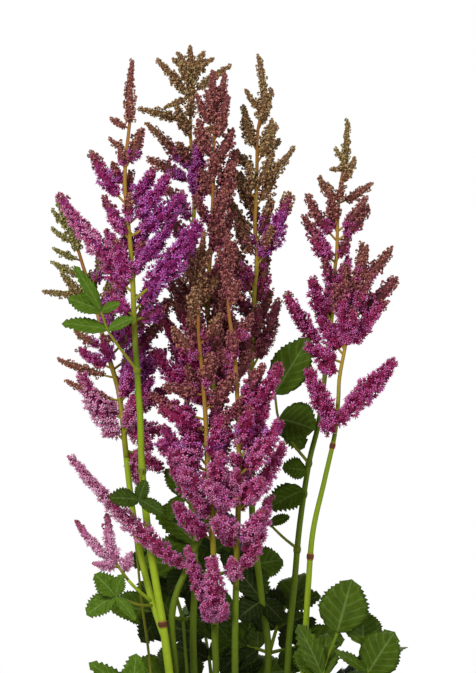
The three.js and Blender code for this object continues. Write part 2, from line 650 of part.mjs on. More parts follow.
// Toothed leaflets that spread from one hub, as one thin body: thick along each midrib, thin at the edges,
// folded up a little on both sides and arching to the tips. Neighbours part in a cleft near the hub.
function leafletFan([hubPoint, ...leaflets], up) {
  const hub = vector(hubPoint);
  const aside = new THREE.Vector3().crossVectors(up, vector(leaflets[0][0]).sub(hub)).normalize();
  const ahead = new THREE.Vector3().crossVectors(aside, up).normalize();
  const normal = new THREE.Vector3().crossVectors(ahead, aside);
  const half = LEAFLET.thickness / 2;
  const points = [
    hub.clone().addScaledVector(normal, half),
    hub.clone().addScaledVector(normal, -half),
  ];
  const blades = leaflets.map(([tip, width]) => {
    const way = vector(tip).sub(hub);
    const shape = width > ARM_WIDTH ? TOOTHED : ARM;
    return { tip: vector(tip), width, shape, turn: Math.atan2(way.dot(aside), way.dot(ahead)) };
  });
  blades.sort((one, two) => one.turn - two.turn);
  blades.forEach((blade, index) => {
    const next = blades[(index + 1) % blades.length];
    blade.gap = next.turn - blade.turn + (index + 1 === blades.length ? 2 * Math.PI : 0);
    const middle = blade.turn + blade.gap / 2;
    blade.cleft = points.push(hub.clone()
      .addScaledVector(ahead, LEAFLET.cleft * Math.cos(middle))
      .addScaledVector(aside, LEAFLET.cleft * Math.sin(middle))) - 1;
  });
  const faces = blades.flatMap((blade, index) => {
    const before = blades[(index + blades.length - 1) % blades.length];
    return leafletFaces(points, hub, blade, before, normal);
  });
  return solidOf(points, faces);
}

// The two faces of one leaflet of a fan. The first two points are the hub's upper and lower side.
function leafletFaces(points, hub, blade, before, normal) {
  const along = blade.tip.clone().sub(hub);
  const length = along.length();
  along.normalize();
  const across = new THREE.Vector3().crossVectors(normal, along).normalize();
  const raised = new THREE.Vector3().crossVectors(along, across);
  const { ribs, edge, droop } = blade.shape;
  const place = (share, side, lift) => hub.clone()
    .addScaledVector(along, share * length)
    .addScaledVector(across, side)
    .addScaledVector(raised, lift + LEAFLET.fold * Math.abs(side) + droop * length * share * (1 - share));
  const half = LEAFLET.thickness / 2;
  const tip = points.push(blade.tip) - 1;
  const faces = [];
  const upper = [0, ...ribs.map((share) => points.push(place(share, 0, half)) - 1), tip];
  const lower = [1, ...ribs.map((share) => points.push(place(share, 0, -half)) - 1), tip];
  for (const [side, cleft, gap] of [[1, blade.cleft, blade.gap], [-1, before.cleft, before.gap]]) {
    const room = Math.tan(Math.min(0.42 * gap, 1.2));
    const rim = [cleft, ...edge.map(([share, out]) => {
      const reach = Math.min((out * blade.width) / 2, share * length * room);
      return points.push(place(share, side * reach, 0)) - 1;
    }), tip];
    const rimShares = [0, ...edge.map(([share]) => share), 1];
    faces.push(...strip(upper, rim, [0, ...ribs, 1], rimShares, side < 0));
    faces.push(...strip(lower, rim, [0, ...ribs, 1], rimShares, side > 0));
  }
  return faces;
}

// Triangles between two rows of points that end together, always stepping along the row that lags.
function strip(inner, outer, innerShares, outerShares, flip) {
  const faces = [];
  let a = 0;
  let b = 0;
  while (a < inner.length - 1 || b < outer.length - 1) {
    const innerNext = a < inner.length - 1 ? innerShares[a + 1] : Infinity;
    const outerNext = b < outer.length - 1 ? outerShares[b + 1] : Infinity;
    const stepInner = innerNext < outerNext;
    const face = stepInner ? [inner[a], inner[a + 1], outer[b]] : [inner[a], outer[b + 1], outer[b]];
    if (new Set(face).size === 3) faces.push(flip ? face.reverse() : face);
    if (stepInner) a += 1;
    else b += 1;
  }
  return faces;
}

function petioleSolid(points, radius, rooted) {
  const curve = curveThrough(points.map(vector));
  const radiusAt = (share) => mix(radius, radius * 0.75, share);
  return tube(curve, 0, 1, radiusAt, { ...PETIOLE, rooted, pointed: true });
}

// The side of a placed leaf that shows: towards the front and up.
const LEAF_UP = new THREE.Vector3(0.1, -0.85, 0.5);

function leafPieces({ petioles, fans }, rooted) {
  return [
    ...petioles.map((points, index) => petioleSolid(points, PETIOLE_RADIUS, rooted && index === 0)),
    ...fans.map((fan) => leafletFan(fan, LEAF_UP)),
  ];
}

// The point reached from another by going a distance along a heading in degrees.
function stepFrom([x, y], heading, distance) {
  const way = THREE.MathUtils.degToRad(heading);
  return [x + distance * Math.cos(way), y + distance * Math.sin(way)];
}

// A mound leaf: a petiole that ends in three groups of three leaflets, arching outwards.
function moundLeafPlan({ azimuth, root, hub, height, pitch, size }) {
  const angle = THREE.MathUtils.degToRad(azimuth);
  const out = new THREE.Vector3(Math.cos(angle), Math.sin(angle), 0);
  const side = new THREE.Vector3(-out.y, out.x, 0);
  const rise = THREE.MathUtils.degToRad(pitch);
  const up = out.clone().multiplyScalar(-Math.sin(rise)).setZ(Math.cos(rise));
  const [archOut, archAside] = MOUND.arch;
  // A point of the leaf, by how far it lies beyond the hub and how far to its side.
  const at = (beyond, aside) => {
    const arch = archOut * beyond * beyond + archAside * aside * aside;
    return out.clone().multiplyScalar(hub + beyond * Math.cos(rise))
      .addScaledVector(side, aside)
      .add(new THREE.Vector3(0, 0, height + beyond * Math.sin(rise)))
      .addScaledVector(up, -arch);
  };
  const foot = out.clone().multiplyScalar(root).setZ(SOIL_LINE);
  const knee = out.clone().multiplyScalar(mix(root, hub, MOUND.knee[0]));
  knee.z = mix(SOIL_LINE, height, MOUND.knee[1]);
  const petiole = curveThrough([foot, knee, at(0, 0)]);
  const joint = petiole.getPointAt(1 - PETIOLE_RADIUS / petiole.getLength());
  const fans = MOUND.arms.map(([heading, length]) => {
    const end = stepFrom([0, 0], heading, length * size);
    const leaflets = MOUND.leaflets.map(([turn, reach, width]) => {
      const tip = stepFrom(end, heading + turn, reach * size);
      return [at(...tip).toArray(), width * size];
    });
    return [at(...end).toArray(), ...leaflets, [joint.toArray(), ARM_WIDTH]];
  });
  return { petiole, fans, up };
}

function moundLeafSolid({ petiole, fans, up }) {
  return wasm.Manifold.union([
    tube(petiole, 0, 1, () => PETIOLE_RADIUS, { ...PETIOLE, rooted: true }),
    ...fans.map((fan) => leafletFan(fan, up)),
  ]);
}

// ---------------------------------------------------------------- stalks

// One stalk, with the stems that fork off it and the leaves that it bears.
function stalkSolid(name) {
  const stems = STEMS.filter((stem) => stem.stalk === name);
  const pieces = stems.map((stem, index) => {
    const radiusAt = (share) => stemRadius(stem, share);
    return tube(stem.curve, 0, stem.panicleShare, radiusAt, { ...STALK, rooted: index === 0 });
  });
  for (const leaf of STEM_LEAVES[name] ?? []) pieces.push(...leafPieces(leaf, false));
  return wasm.Manifold.union(pieces);
}

// ---------------------------------------------------------------- pot and soil

function lathe(profile) {
  const points = profile.map(([radius, height]) => new THREE.Vector2(radius, height));
  return new THREE.LatheGeometry(points, POT.sides).rotateX(Math.PI / 2);
}

// The radius of the pot's outer wall at a height.
function wallRadius(height) {
  return mix(POT.footRadius, POT.topRadius, height / POT.height);
}

// A welded solid of a lathe whose profile starts and ends on the axis.
function latheSolid(profile) {
  const geometry = lathe(profile);
  const sides = POT.sides;
  const rows = profile.length;
  const points = [];
  const position = geometry.attributes.position;
  const indexOf = (row, column) => {
    if (row === 0) return 0;
    if (row === rows - 1) return 1;
    return 2 + (row - 1) * sides + (column % sides);
  };
  points[0] = new THREE.Vector3().fromBufferAttribute(position, 0);
  points[1] = new THREE.Vector3().fromBufferAttribute(position, rows - 1);
  for (let row = 1; row < rows - 1; row++) {
    for (let column = 0; column < sides; column++) {
      const source = column * rows + row;
      points[indexOf(row, column)] = new THREE.Vector3().fromBufferAttribute(position, source);
    }
  }
  const faces = [];
  for (let row = 0; row < rows - 1; row++) {
    for (let column = 0; column < sides; column++) {
      const a = indexOf(row, column);
      const b = indexOf(row, column + 1);
      const c = indexOf(row + 1, column + 1);
      const d = indexOf(row + 1, column);
      if (a !== b) faces.push([a, b, c]);
      if (c !== d) faces.push([a, c, d]);
    }
  }
  return solidOf(points, faces);
}

function potSolid() {
  const { height, wall, floor, lipRadius, lipDrop, drainRadius, drainRing, drains, drainSides } = POT;
  const shell = latheSolid([
    [0, 0], [wallRadius(0), 0], [wallRadius(height - lipDrop), height - lipDrop],
    [lipRadius, height - lipDrop], [lipRadius, height], [wallRadius(height) - wall, height],
    [wallRadius(floor) - wall, floor], [0, floor],
  ]);
  const holes = [];
  for (let index = 0; index < drains; index++) {
    const angle = ((index + 0.5) / drains) * 2 * Math.PI;
    const centre = new THREE.Vector3(drainRing * Math.cos(angle), drainRing * Math.sin(angle), 0);
    const radii = new Array(drainSides).fill(drainRadius);
    const upward = new THREE.Vector3(0, 0, 1);
    holes.push(loft([-1, floor + 1].map((z) => ring(centre.clone().setZ(z), upward, radii))));
  }
  return shell.subtract(wasm.Manifold.union(holes));
}

// Potting soil: a block inside the pot with an uneven top, and a hole for every stem and petiole.
function soilSolid(holes) {
  const inset = POT.wall + CLEARANCE / Math.cos(Math.PI / POT.sides);
  const bottom = POT.floor + CLEARANCE;
  const rim = wallRadius(SOIL.top) - inset;
  const profile = [[0, bottom], [wallRadius(bottom) - inset, bottom], [rim, SOIL.top]];
  for (let index = SOIL.rings - 1; index >= 0; index--) profile.push([(rim * index) / SOIL.rings, SOIL.top]);
  const { relief, rimShare, wave, ripple } = SOIL;
  const block = latheSolid(profile).warp((point) => {
    const [x, y, z] = point;
    if (z < SOIL.top - 1) return;
    const inward = Math.min(1, (1 - Math.hypot(x, y) / rim) / rimShare);
    const swell = Math.sin(x * wave[0]) * Math.cos(y * wave[1] + 1);
    point[2] += relief * inward * (swell + 0.6 * Math.sin(x * ripple[0] + y * ripple[1]));
  });
  return block.subtract(wasm.Manifold.union(holes));
}

// ---------------------------------------------------------------- assembly

const group = new THREE.Group();

function addPiece(name, material, solid) {
  const finish = new THREE.MeshStandardMaterial({ ...MATERIALS[material], flatShading: true });
  const mesh = new THREE.Mesh(geometryFrom(solid), finish);
  mesh.name = name;
  group.add(mesh);
}

growStems();
const holes = [];

for (const name of new Set(STEMS.map((stem) => stem.stalk))) {
  const stem = STEMS.find((entry) => entry.stalk === name);
  addPiece(`stalk_${name}`, 'stalk', stalkSolid(name));
  holes.push(rootHole(stem.curve, stem.radius[0], STALK.sides));
}
STEMS.forEach((stem, order) => addPiece(`plume_${stem.name}`, 'plume', plumeSolid(stem, order)));

for (const leaf of LONE_LEAVES) {
  const curve = curveThrough(leaf.petioles[0].map(vector));
  addPiece(leaf.name, 'leaf', wasm.Manifold.union(leafPieces(leaf, true)));
  holes.push(rootHole(curve, PETIOLE_RADIUS, PETIOLE.sides));
}
MOUND_LEAVES.forEach((leaf, index) => {
  const plan = moundLeafPlan(leaf);
  addPiece(`leaf_mound_${index + 1}`, 'leaf', moundLeafSolid(plan));
  holes.push(rootHole(plan.petiole, PETIOLE_RADIUS, PETIOLE.sides));
});

addPiece('pot', 'pot', potSolid());
addPiece('soil', 'soil', soilSolid(holes));

export default group;
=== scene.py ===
"""A flowering astilbe in a nursery pot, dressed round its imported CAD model.

Lengths are millimetres and +Z is up until a piece is made. The front faces -Y.
"""

import math

import bmesh
import bpy
import numpy as np
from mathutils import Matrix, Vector


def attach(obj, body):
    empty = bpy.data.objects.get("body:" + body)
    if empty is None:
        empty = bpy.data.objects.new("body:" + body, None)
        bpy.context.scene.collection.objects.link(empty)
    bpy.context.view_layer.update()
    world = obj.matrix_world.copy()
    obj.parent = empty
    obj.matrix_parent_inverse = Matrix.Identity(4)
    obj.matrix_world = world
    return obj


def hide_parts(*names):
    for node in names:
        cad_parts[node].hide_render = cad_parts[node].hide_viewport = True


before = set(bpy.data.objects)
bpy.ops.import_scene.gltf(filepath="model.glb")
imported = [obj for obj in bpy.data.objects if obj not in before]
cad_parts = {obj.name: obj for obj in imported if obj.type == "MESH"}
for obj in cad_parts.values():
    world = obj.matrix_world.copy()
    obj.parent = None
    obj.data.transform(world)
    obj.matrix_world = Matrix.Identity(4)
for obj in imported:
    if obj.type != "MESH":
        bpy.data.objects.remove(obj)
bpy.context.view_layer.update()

MM = 0.001
GOLDEN_ANGLE = 2.39996
# The range of random turns, in radians.
ABOUT_A_TURN = 6.28

# The seeds of what is drawn at random. Plumes and leaflets add their own numbers.
PLUME_SEED, LEAFLET_SEED, CHIP_SEED = 1000, 7000, 31

# --- pot and soil

POT = {
    "height": 170,
    "foot": 72,
    "top": 92,
    "lip": 99,
    "lip_drop": 18,
    "wall": 2.5,
    "floor": 3,
    "drain": 4.5,
    "drain_ring": 48,
    "drains": 4,
    "sides": 96,
}
# The soil stays a gap away from the pot's wall.
SOIL = {
    "top": 155, "bottom": 3.4, "gap": 0.4, "relief": 2.2, "sides": 120, "rings": 52, "chips": 420,
}
# Bark chips: ranges of their size and of their stretch and roughness, their flat shape, and how far
# their middles lie above the soil.
CHIP = {"size": (0.8, 2.6), "stretch": (0.5, 1.2), "rough": (0.8, 1.2), "shape": (1.4, 1, 0.6), "above": 0.3}
# How deep the plant's stalks go on into the soil, below the line where their paths start.
ROOT_DEPTH = 22
SOIL_LINE = 150

# --- plumes

# A branch: its bare foot's share of the length, how full its florets are at that foot, how much they
# narrow at the tip, and the bend of its middle: (outwards, upwards) as shares of its reach.
BRANCH = {"bare": 0.27, "foot": 0.72, "narrowing": 0.55, "bend": (0.55, 0.35)}
CUT_BACK = {"step": 0.85, "shortest": 0.35}
CLEAR_OF_OTHERS = 0.7

# How late a stem thins on its way up: 1 would be evenly.
STEM_TAPER = 1.8

# Tones run along the plume material's colour scale.
OLIVE, BROWN_OLIVE, RED_BROWN, WINE, MAGENTA, PURPLE, PINK, PALE_PINK = np.linspace(0.03, 0.97, 8)

# A stem is a path from the soil, or from the stem it forks off, to the tip of its plume.
# radius:  at the foot and at the tip.
# panicle: the height where the plume starts.
# spike:   (height where it starts, radius, openness) of the florets round the tip.
# branch:  (height on the stem, tip x, tip y, tip z, radius, openness).
# infill:  smaller branches that close the plume between the others, grown last.
# filler:  branches set by the golden angle. Pairs run from the lowest branch to the highest.
# buds and flowers: tones at heights, (height, tone), from the lowest.
# bend:    of its branches, where they differ from the rest.
# joints:  the heights and the tones of its nodes.
# Openness is 0 for tight buds and 1 for open florets.
STEMS = [
    {
        "name": "front_left",
        "joints": [(298, 1.0), (397, 0.3), (462, 0.42)],
        "stalk": "left",
        "radius": (2.8, 0.8),
        "panicle": 491,
        "path": [
            (-21, -14, 150), (-30, -24, 205), (-41, -32, 291), (-45.5, -34, 319), (-51.4, -38, 357),
            (-55.3, -40, 397), (-56.6, -42, 433), (-59.8, -44, 482), (-61.8, -45, 530),
            (-65.7, -45, 572), (-66, -45, 595), (-63, -44, 625), (-63.5, -43, 644), (-61.5, -43, 661.5),
        ],
        "spike": (622, 4.2, 0.1),
        "branches": [
            (507, -18, -62, 557, 10.5, 1), (522, -109, -38, 575, 8, 0.9),
            (569, -88, -40, 603, 6.5, 0.6), (566, -47.5, -52, 592, 7, 0.8),
            (548, -28, -55, 576, 8, 0.9), (592, -56, -40, 617, 6.5, 0.3),
            (546, -77, -52, 568, 5.5, 0.8), (494, -36, -24, 507, 7, 0.5), (604, -76, -40, 611, 3.5, 0),
            (618, -75, -46, 624, 3.5, 0), (556, -38, -62, 588, 7.5, 0.9), (526, -34, -50, 562, 7, 1),
            (512, -82, -30, 537, 7, 0.8), (497, -76, -34, 513, 6, 0.7), (580, -74, -36, 596, 5, 0.4),
        ],
        "infill": [
            (500, -42, -30, 528, 7, 0.7), (534, -52, -34, 562, 6.5, 0.9),
            (516, -72, -52, 545, 6.5, 0.8), (548, -80, -40, 574, 5.5, 0.6), (532, -79, -38, 553, 6, 0.9),
        ],
        "filler": {
            "count": 5, "span": (510, 600), "reach": (22, 10), "rise": (26, 14),
            "radius": (6.5, 4.5), "open": (0.8, 0.2), "squeeze": 0.35,
        },
        "buds": [(590, RED_BROWN)],
        "flowers": [(500, PURPLE), (560, PURPLE), (600, MAGENTA)],
    },
    {
        "name": "back_left",
        "stalk": "left",
        "radius": (2.2, 0.8),
        "panicle": 405,
        "path": [
            (-41, -32, 289), (-50.7, -28, 319), (-59.8, -20, 358.6), (-64.4, -15, 392),
            (-69.6, -10, 440), (-73.5, -9, 458), (-80.6, -8, 481), (-85.8, -7, 504), (-93.6, -6, 528),
            (-98.8, -5, 544.5), (-105.3, -5, 559.5), (-111, -5, 574),
        ],
        "spike": (540, 4.2, 0.1),
        "branches": [
            (416, -96, -14, 460, 9, 1), (436, -41, 10, 449, 8, 0.8), (452, -50.7, 10, 488, 8, 0.7),
            (423, -44, 4, 423, 8, 0.8), (410, -43, -4, 397, 7, 0.8), (463, -97, -4, 476, 5.5, 0.8),
            (501, -67, -12, 514, 6, 0.3), (457, -110, -10, 469, 4, 0.1), (442, -105, -16, 455, 4, 0.1),
            (476, -98.8, -12, 487, 4.5, 0.3), (510, -119.6, -5, 513, 3.7, 0),
            (533, -113, -8, 541, 3.2, 0), (544, -114.4, -2, 554, 3, 0), (554, -114, -6, 566, 3, 0),
            (487, -68, -16, 528, 7.5, 0.5), (504, -108, -8, 525, 4.5, 0.1), (516, -78, -2, 539, 6, 0.3),
            (478, -64, 4, 501, 7.5, 0.8), (448, -57, -22, 477, 7.5, 0.9), (430, -84, -2, 447, 7, 0.9),
            (522, -114, -8, 532, 3.5, 0),
        ],
        "infill": [
            (470, -47, 2, 514, 7.5, 0.4), (430, -46, -12, 462, 7, 0.9), (462, -40, 14, 500, 7, 0.5),
            (440, -62, -24, 470, 6.5, 0.9), (494, -76, 0, 522, 6, 0.2), (420, -60, -20, 446, 7, 1),
            (446, -46, -2, 476, 6.5, 0.8), (428, -50, -8, 410, 7.5, 1), (412, -58, -6, 388, 6.5, 1),
            (424, -81, -14, 420, 6.5, 1), (448, -41, 0, 475, 6.5, 0.8),
        ],
        "filler": {
            "count": 4, "span": (430, 520), "reach": (24, 12), "rise": (24, 16),
            "radius": (7, 4.5), "open": (0.8, 0.2), "squeeze": 0.35,
        },
        "buds": [(450, RED_BROWN), (505, BROWN_OLIVE), (530, OLIVE)],
        "flowers": [(430, PINK), (480, MAGENTA)],
    },
    {
        "name": "side_shoot",
        "stalk": "left",
        "radius": (1.1, 0.7),
        "panicle": 327,
        "path": [(-48.6, -29, 312), (-60, -40, 322), (-68, -44, 332), (-75, -46, 345), (-78, -46, 369)],
        "spike": (338, 5, 0.7),
        "branches": [
            (336, -97.5, -46, 364.5, 4.5, 0.7), (331, -63.5, -48, 344, 5.5, 0.9),
            (335, -86, -52, 338, 4.5, 0.8),
        ],
        "filler": None,
        "buds": [(340, WINE)],
        "flowers": [(340, PALE_PINK)],
    },
    {
        "name": "top_back",
        "stalk": "top_back",
        "bend": (0.45, 0.6),
        "radius": (2.4, 0.8),
        "panicle": 545,
        "path": [
            (-10, 8, 150), (-22, 4, 265), (-21.5, 6, 338), (-24.7, 8, 390), (-27.3, 12, 429),
            (-24.7, 15, 465), (-24.7, 20, 501), (-23.4, 22, 533), (-22, 24, 576), (-23.4, 25, 598),
            (-24.7, 25, 621), (-24, 25, 637), (-24.7, 25, 673),
        ],
        "spike": (640, 4.4, 0),
        "branches": [
            (569, -18, 5, 607.5, 7, 1), (582, -52.6, 26, 600, 5.5, 0.4), (587, -53, 18, 622.5, 5, 0.3),
            (623, -58, 10, 632, 4.2, 0), (637, -46, 22, 664, 4.5, 0), (641, 1, 28, 660.5, 4, 0),
            (654, -36, 30, 665, 4.2, 0), (655, -10, 22, 665, 4.2, 0), (641, -41, 18, 633.5, 3.5, 0),
            (645, -31, 15, 662, 4.5, 0), (648, -17, 32, 664, 4.5, 0), (612, -34, 14, 634, 5, 0),
        ],
        "infill": [
            (652, -33, 26, 669, 4.2, 0), (650, -16, 20, 669, 4.2, 0), (600, -8, 16, 622, 5, 0),
            (540, -40, 10, 562, 6.5, 0.4),
        ],
        "filler": {
            "count": 7, "span": (550, 630), "reach": (22, 11), "rise": (26, 14),
            "radius": (6.5, 4.5), "open": (0.5, 0), "squeeze": 0.8,
        },
        "buds": [(600, RED_BROWN), (630, BROWN_OLIVE)],
        "flowers": [(580, PURPLE)],
    },
    {
        "name": "centre_tall",
        "stalk": "centre_tall",
        "radius": (2.4, 0.8),
        "panicle": 425,
        "path": [
            (-24, 0, 150), (-28, -8, 205), (-33.8, -20, 265), (-35.8, -30, 306.6), (-24.7, -27, 338.5),
            (-12.4, -20, 370), (-9.1, -14, 410), (-9.1, -8, 442), (-11.7, -5, 485), (-13, -5, 507),
            (-9.8, -5, 572), (-9.1, -8, 618), (-9.8, -10, 655.6),
        ],
        "spike": (625, 4.5, 0),
        "branches": [
            (436, -48, -14, 474, 8.5, 0.9), (455, -43, -4, 497, 8, 0.7), (474, -36, -18, 508, 7, 0.6),
            (596, 3, -6, 618, 6, 0), (618, -20, -12, 640, 4.8, 0), (614, 0, -14, 640, 5, 0),
        ],
        "infill": [
            (560, 3, -10, 596, 6.5, 0), (578, 6, 2, 604, 5.5, 0), (536, 3, 2, 564, 6.5, 0),
            (486, -38, -8, 520, 7, 0.3), (484, -3, -22, 518, 7, 0.1), (440, -34, 8, 470, 7, 0.6),
            (545, -2, -22, 578, 6.5, 0), (510, 4, -18, 545, 7, 0), (460, 6, -2, 494, 7, 0.2),
            (500, -26, -20, 534, 7, 0.1), (468, -28, -20, 500, 7, 0.3), (498, -33, 4, 522, 6, 0.3),
            (500, -5, 16, 538, 7, 0), (472, 8, 14, 508, 7, 0.1), (440, -3, 14, 474, 7, 0.3),
            (476, -35, 10, 506, 6.5, 0.2), (450, -42, 8, 484, 7, 0.7), (626, -2, -6, 654, 5, 0),
            (596, -19, -12, 624, 5.5, 0),
        ],
        "filler": {
            "count": 22, "span": (430, 634), "reach": (23, 8), "rise": (30, 14),
            "radius": (7.8, 4.6), "open": (0.45, 0), "squeeze": 1,
        },
        "buds": [(560, (RED_BROWN + WINE) / 2), (645, (2 * RED_BROWN + WINE) / 3)],
        "flowers": [(450, MAGENTA)],
    },
    {
        "name": "centre_front",
        "stalk": "centre_front",
        "radius": (2.4, 0.8),
        "panicle": 297,
        "path": [
            (-8, -18, 150), (-7.8, -20, 265), (-8.5, -21, 286.5), (-9.1, -25, 338.5), (-11, -30, 371),
            (-13, -33, 397), (-14.3, -35, 429.5), (-16.3, -36, 458.7), (-18.9, -37, 488),
            (-18.2, -38, 520.5), (-15.6, -38, 551.6),
        ],
        "spike": (505, 4.5, 0),
        "branches": [
            (299, -9.8, -62, 341.7, 8.2, 1), (323, -100.75, -76, 407, 7, 1),
            (305, -26, -58, 348, 7, 1), (384, -30, -55, 397, 8.5, 1), (381, -4, -58, 408.6, 8.5, 1),
            (397, -45.5, -50, 416.5, 9, 0.95), (423, -44, -50, 439, 7.5, 0.6),
            (416, 15.6, -62, 453.5, 6.5, 0), (446, -41, -45, 452, 6, 0.1),
            (436, 4.5, -56, 460.6, 6.5, 0.1), (299, -16, -50, 311, 5.5, 1), (299, -1, -50, 311, 5.5, 1),
            (400, -31, -40, 432, 8, 0.9), (372, -37, -42, 404, 8, 1), (402, -3, -48, 434, 7.5, 0.7),
            (430, -50, -36, 446, 6, 0.4), (352, -34, -46, 376, 7.5, 1),
        ],
        "infill": [
            (392, -42, -32, 426, 7, 0.9), (390, 1, -20, 424, 7, 0.9), (366, 4, -22, 396, 7.5, 1),
            (350, -28, -16, 380, 7, 1), (410, -28, -20, 444, 7, 0.6), (364, -24, -46, 392, 7, 1),
            (420, -2, -22, 452, 6.5, 0.4),
        ],
        "filler": {
            "count": 9, "span": (444, 532), "reach": (20, 9), "rise": (24, 12),
            "radius": (6.6, 4.4), "open": (0.25, 0), "squeeze": 1,
        },
        "buds": [(430, WINE), (500, (RED_BROWN + BROWN_OLIVE) / 2)],
        "flowers": [(410, PINK), (416, MAGENTA)],
    },
    {
        "name": "centre_right",
        "stalk": "centre_right",
        "radius": (2.4, 0.8),
        "panicle": 321,
        "path": [
            (6, -30, 150), (4.6, -34, 265), (5.2, -38, 323.5), (6.5, -42, 364), (7.2, -44, 410),
            (5.9, -45, 449), (3.9, -45, 477.5), (0.7, -44, 499), (0, -44, 527), (0, -44, 551.6),
        ],
        "spike": (510, 4.5, 0),
        "branches": [
            (325.5, 26.7, -50, 380.7, 7.5, 0.95), (371, 36.4, -36, 415, 7, 0.9),
            (377.5, 22, -68, 392, 9, 1), (374, -13.7, -72, 388.5, 9, 1), (358, -8.5, -66, 366, 8.5, 1),
            (394, 33.8, -62, 429.5, 8.5, 0.95), (426, 33.8, -52, 466, 7.5, 0.8),
            (328, 2.6, -60, 340, 7, 1), (400, -4, -66, 422, 8, 0.9), (404, 24, -46, 441, 8, 0.8),
            (412, 14, -62, 438, 7.5, 0.7), (420, 18, -34, 452, 7, 0.4), (350, 22, -60, 372, 7.5, 1),
        ],
        "infill": [
            (366, 12, -28, 400, 7.5, 1), (388, 18, -30, 420, 7.5, 0.9), (344, -4, -44, 372, 7, 1),
            (406, 10, -28, 438, 7, 0.7), (430, 18, -44, 462, 6.5, 0.3), (384, 4, -62, 404, 7, 1),
        ],
        "filler": {
            "count": 8, "span": (436, 534), "reach": (18, 8), "rise": (24, 12),
            "radius": (6.6, 4.4), "open": (0.35, 0), "squeeze": 1,
        },
        "buds": [(430, WINE), (500, (RED_BROWN + WINE) / 2)],
        "flowers": [(420, PINK), (426, MAGENTA)],
    },
    {
        "name": "right_centre",
        "stalk": "right_centre",
        "radius": (2.4, 0.8),
        "panicle": 455,
        "path": [
            (14, 6, 150), (26, 3, 265), (22, 2, 312), (16, 2, 364), (15.6, 4, 410), (14.3, 8, 442.5),
            (16.3, 12, 481.5), (16.9, 14, 507.5), (18.9, 15, 533.5), (17.6, 15, 556),
            (18.2, 15, 572.5), (18.9, 15, 595), (19.5, 15, 618), (23.6, 15, 637.5), (22, 15, 654),
            (19.8, 15, 666.7),
        ],
        "spike": (626, 4, 0),
        "branches": [
            (530, 40.3, 10, 577, 8, 0.6), (501, 25, 24, 535, 7, 0.5), (480, 20, 4, 503, 6, 0.8),
            (465, 18, 14, 488, 6, 0.6), (582, 43, 12, 607, 4.5, 0.1), (592, 3.3, 18, 605, 5.5, 0.1),
            (605, 9.8, 12, 625.7, 5, 0.1), (602, 33.8, 22, 612, 4.5, 0), (618, 28.6, 18, 645, 4, 0),
            (574, 3, 12, 592, 6, 0.1), (545, 28, 20, 574, 6, 0.3), (540, 6, 8, 558, 6.5, 0.3),
            (515, 4, 14, 537, 7, 0.5), (494, 5, 16, 515, 7, 0.6), (568, 32, 22, 596, 5.5, 0.1),
            (630, 12, 14, 644, 3.5, 0), (597, 31, 8, 622, 5, 0),
        ],
        "infill": [
            (548, -2, 26, 576, 6.5, 0.1), (536, -2, 4, 562, 6.5, 0.1), (508, 5, 28, 541, 7, 0.3),
            (472, 1, 4, 502, 7, 0.5), (562, 8, 26, 590, 6, 0),
            (460, 4, 24, 490, 6.5, 0.5), (522, 26, 26, 552, 6, 0.2), (462, 33, 6, 508, 6.5, 0.8),
            (578, 29, 10, 604, 5, 0.1), (606, 10, 20, 634, 4.5, 0), (603, 29, 14, 625, 4.5, 0),
        ],
        "filler": {
            "count": 6, "span": (476, 612), "reach": (20, 9), "rise": (28, 14),
            "radius": (7, 4), "open": (0.5, 0), "squeeze": 0.8,
        },
        "buds": [(520, RED_BROWN), (600, BROWN_OLIVE)],
        "flowers": [(500, WINE), (540, PURPLE)],
    },
    {
        "name": "right_back",
        "joints": [(345, 0.4), (381, 0.36), (401, 0.36)],
        "stalk": "right_back",
        "radius": (2.3, 0.7),
        "panicle": 468,
        "path": [
            (28, 16, 150), (38.4, 6, 265), (39.7, 6, 286.5), (43.4, 7, 325.5), (46.6, 8, 360.6),
            (52.7, 8, 401.5), (59.3, 8, 429.5), (65, 9, 475), (68.3, 10, 503), (69.5, 10, 525.7),
            (70.9, 10, 539), (71.5, 11, 559.5), (72.8, 11, 580), (76, 12, 598), (77.2, 12, 611),
            (78, 12, 624.5),
        ],
        "spike": (592, 3.6, 0),
        "branches": [
            (473.6, 38, 2, 512, 7, 0.7), (494, 54, 0, 521.8, 7.5, 0.9), (532, 55, 4, 548, 7, 0.6),
            (546, 91.7, 12, 568.5, 6, 0.3), (546, 51.4, 6, 575.7, 5.5, 0.3),
            (570.5, 93.6, 14, 583.5, 4.5, 0.1), (572, 59.2, 8, 587, 4.8, 0.1),
            (582, 82.6, 10, 600, 4, 0), (593, 67.6, 14, 592.6, 3, 0), (536, 49, 10, 562, 5.5, 0.4),
            (512, 79, 16, 535, 6.5, 0.9), (598, 70, 8, 606, 3, 0),
        ],
        "infill": [
            (500, 76, 2, 530, 6.5, 0.7), (556, 66, 4, 580, 5, 0.1),
            (484, 58, 18, 512, 6.5, 0.9), (552, 90, 8, 574, 5, 0.2),
        ],
        "filler": {
            "count": 5, "span": (485, 580), "reach": (19, 9), "rise": (24, 12),
            "radius": (6.5, 4), "open": (0.6, 0), "squeeze": 0.6,
        },
        "buds": [(540, WINE), (575, RED_BROWN), (600, (OLIVE + 2 * BROWN_OLIVE) / 3)],
        "flowers": [(500, MAGENTA), (560, MAGENTA)],
    },
    {
        "name": "right_front",
        "joints": [(341, 0.98), (413, 1.0)],
        "stalk": "right_front",
        "radius": (2.3, 0.7),
        "panicle": 421,
        "path": [
            (32, -6, 150), (48.8, -8, 265), (50, -9, 286.5), (52.3, -10, 325.5), (55.2, -12, 358),
            (62.5, -17, 390.5), (69.4, -20, 421.7), (71.4, -21, 442.5), (72.2, -22, 457),
            (75.7, -23, 476), (80.6, -24, 501), (83.9, -25, 523.7), (87, -25, 544.5),
        ],
        "spike": (502, 4.6, 0.1),
        "branches": [
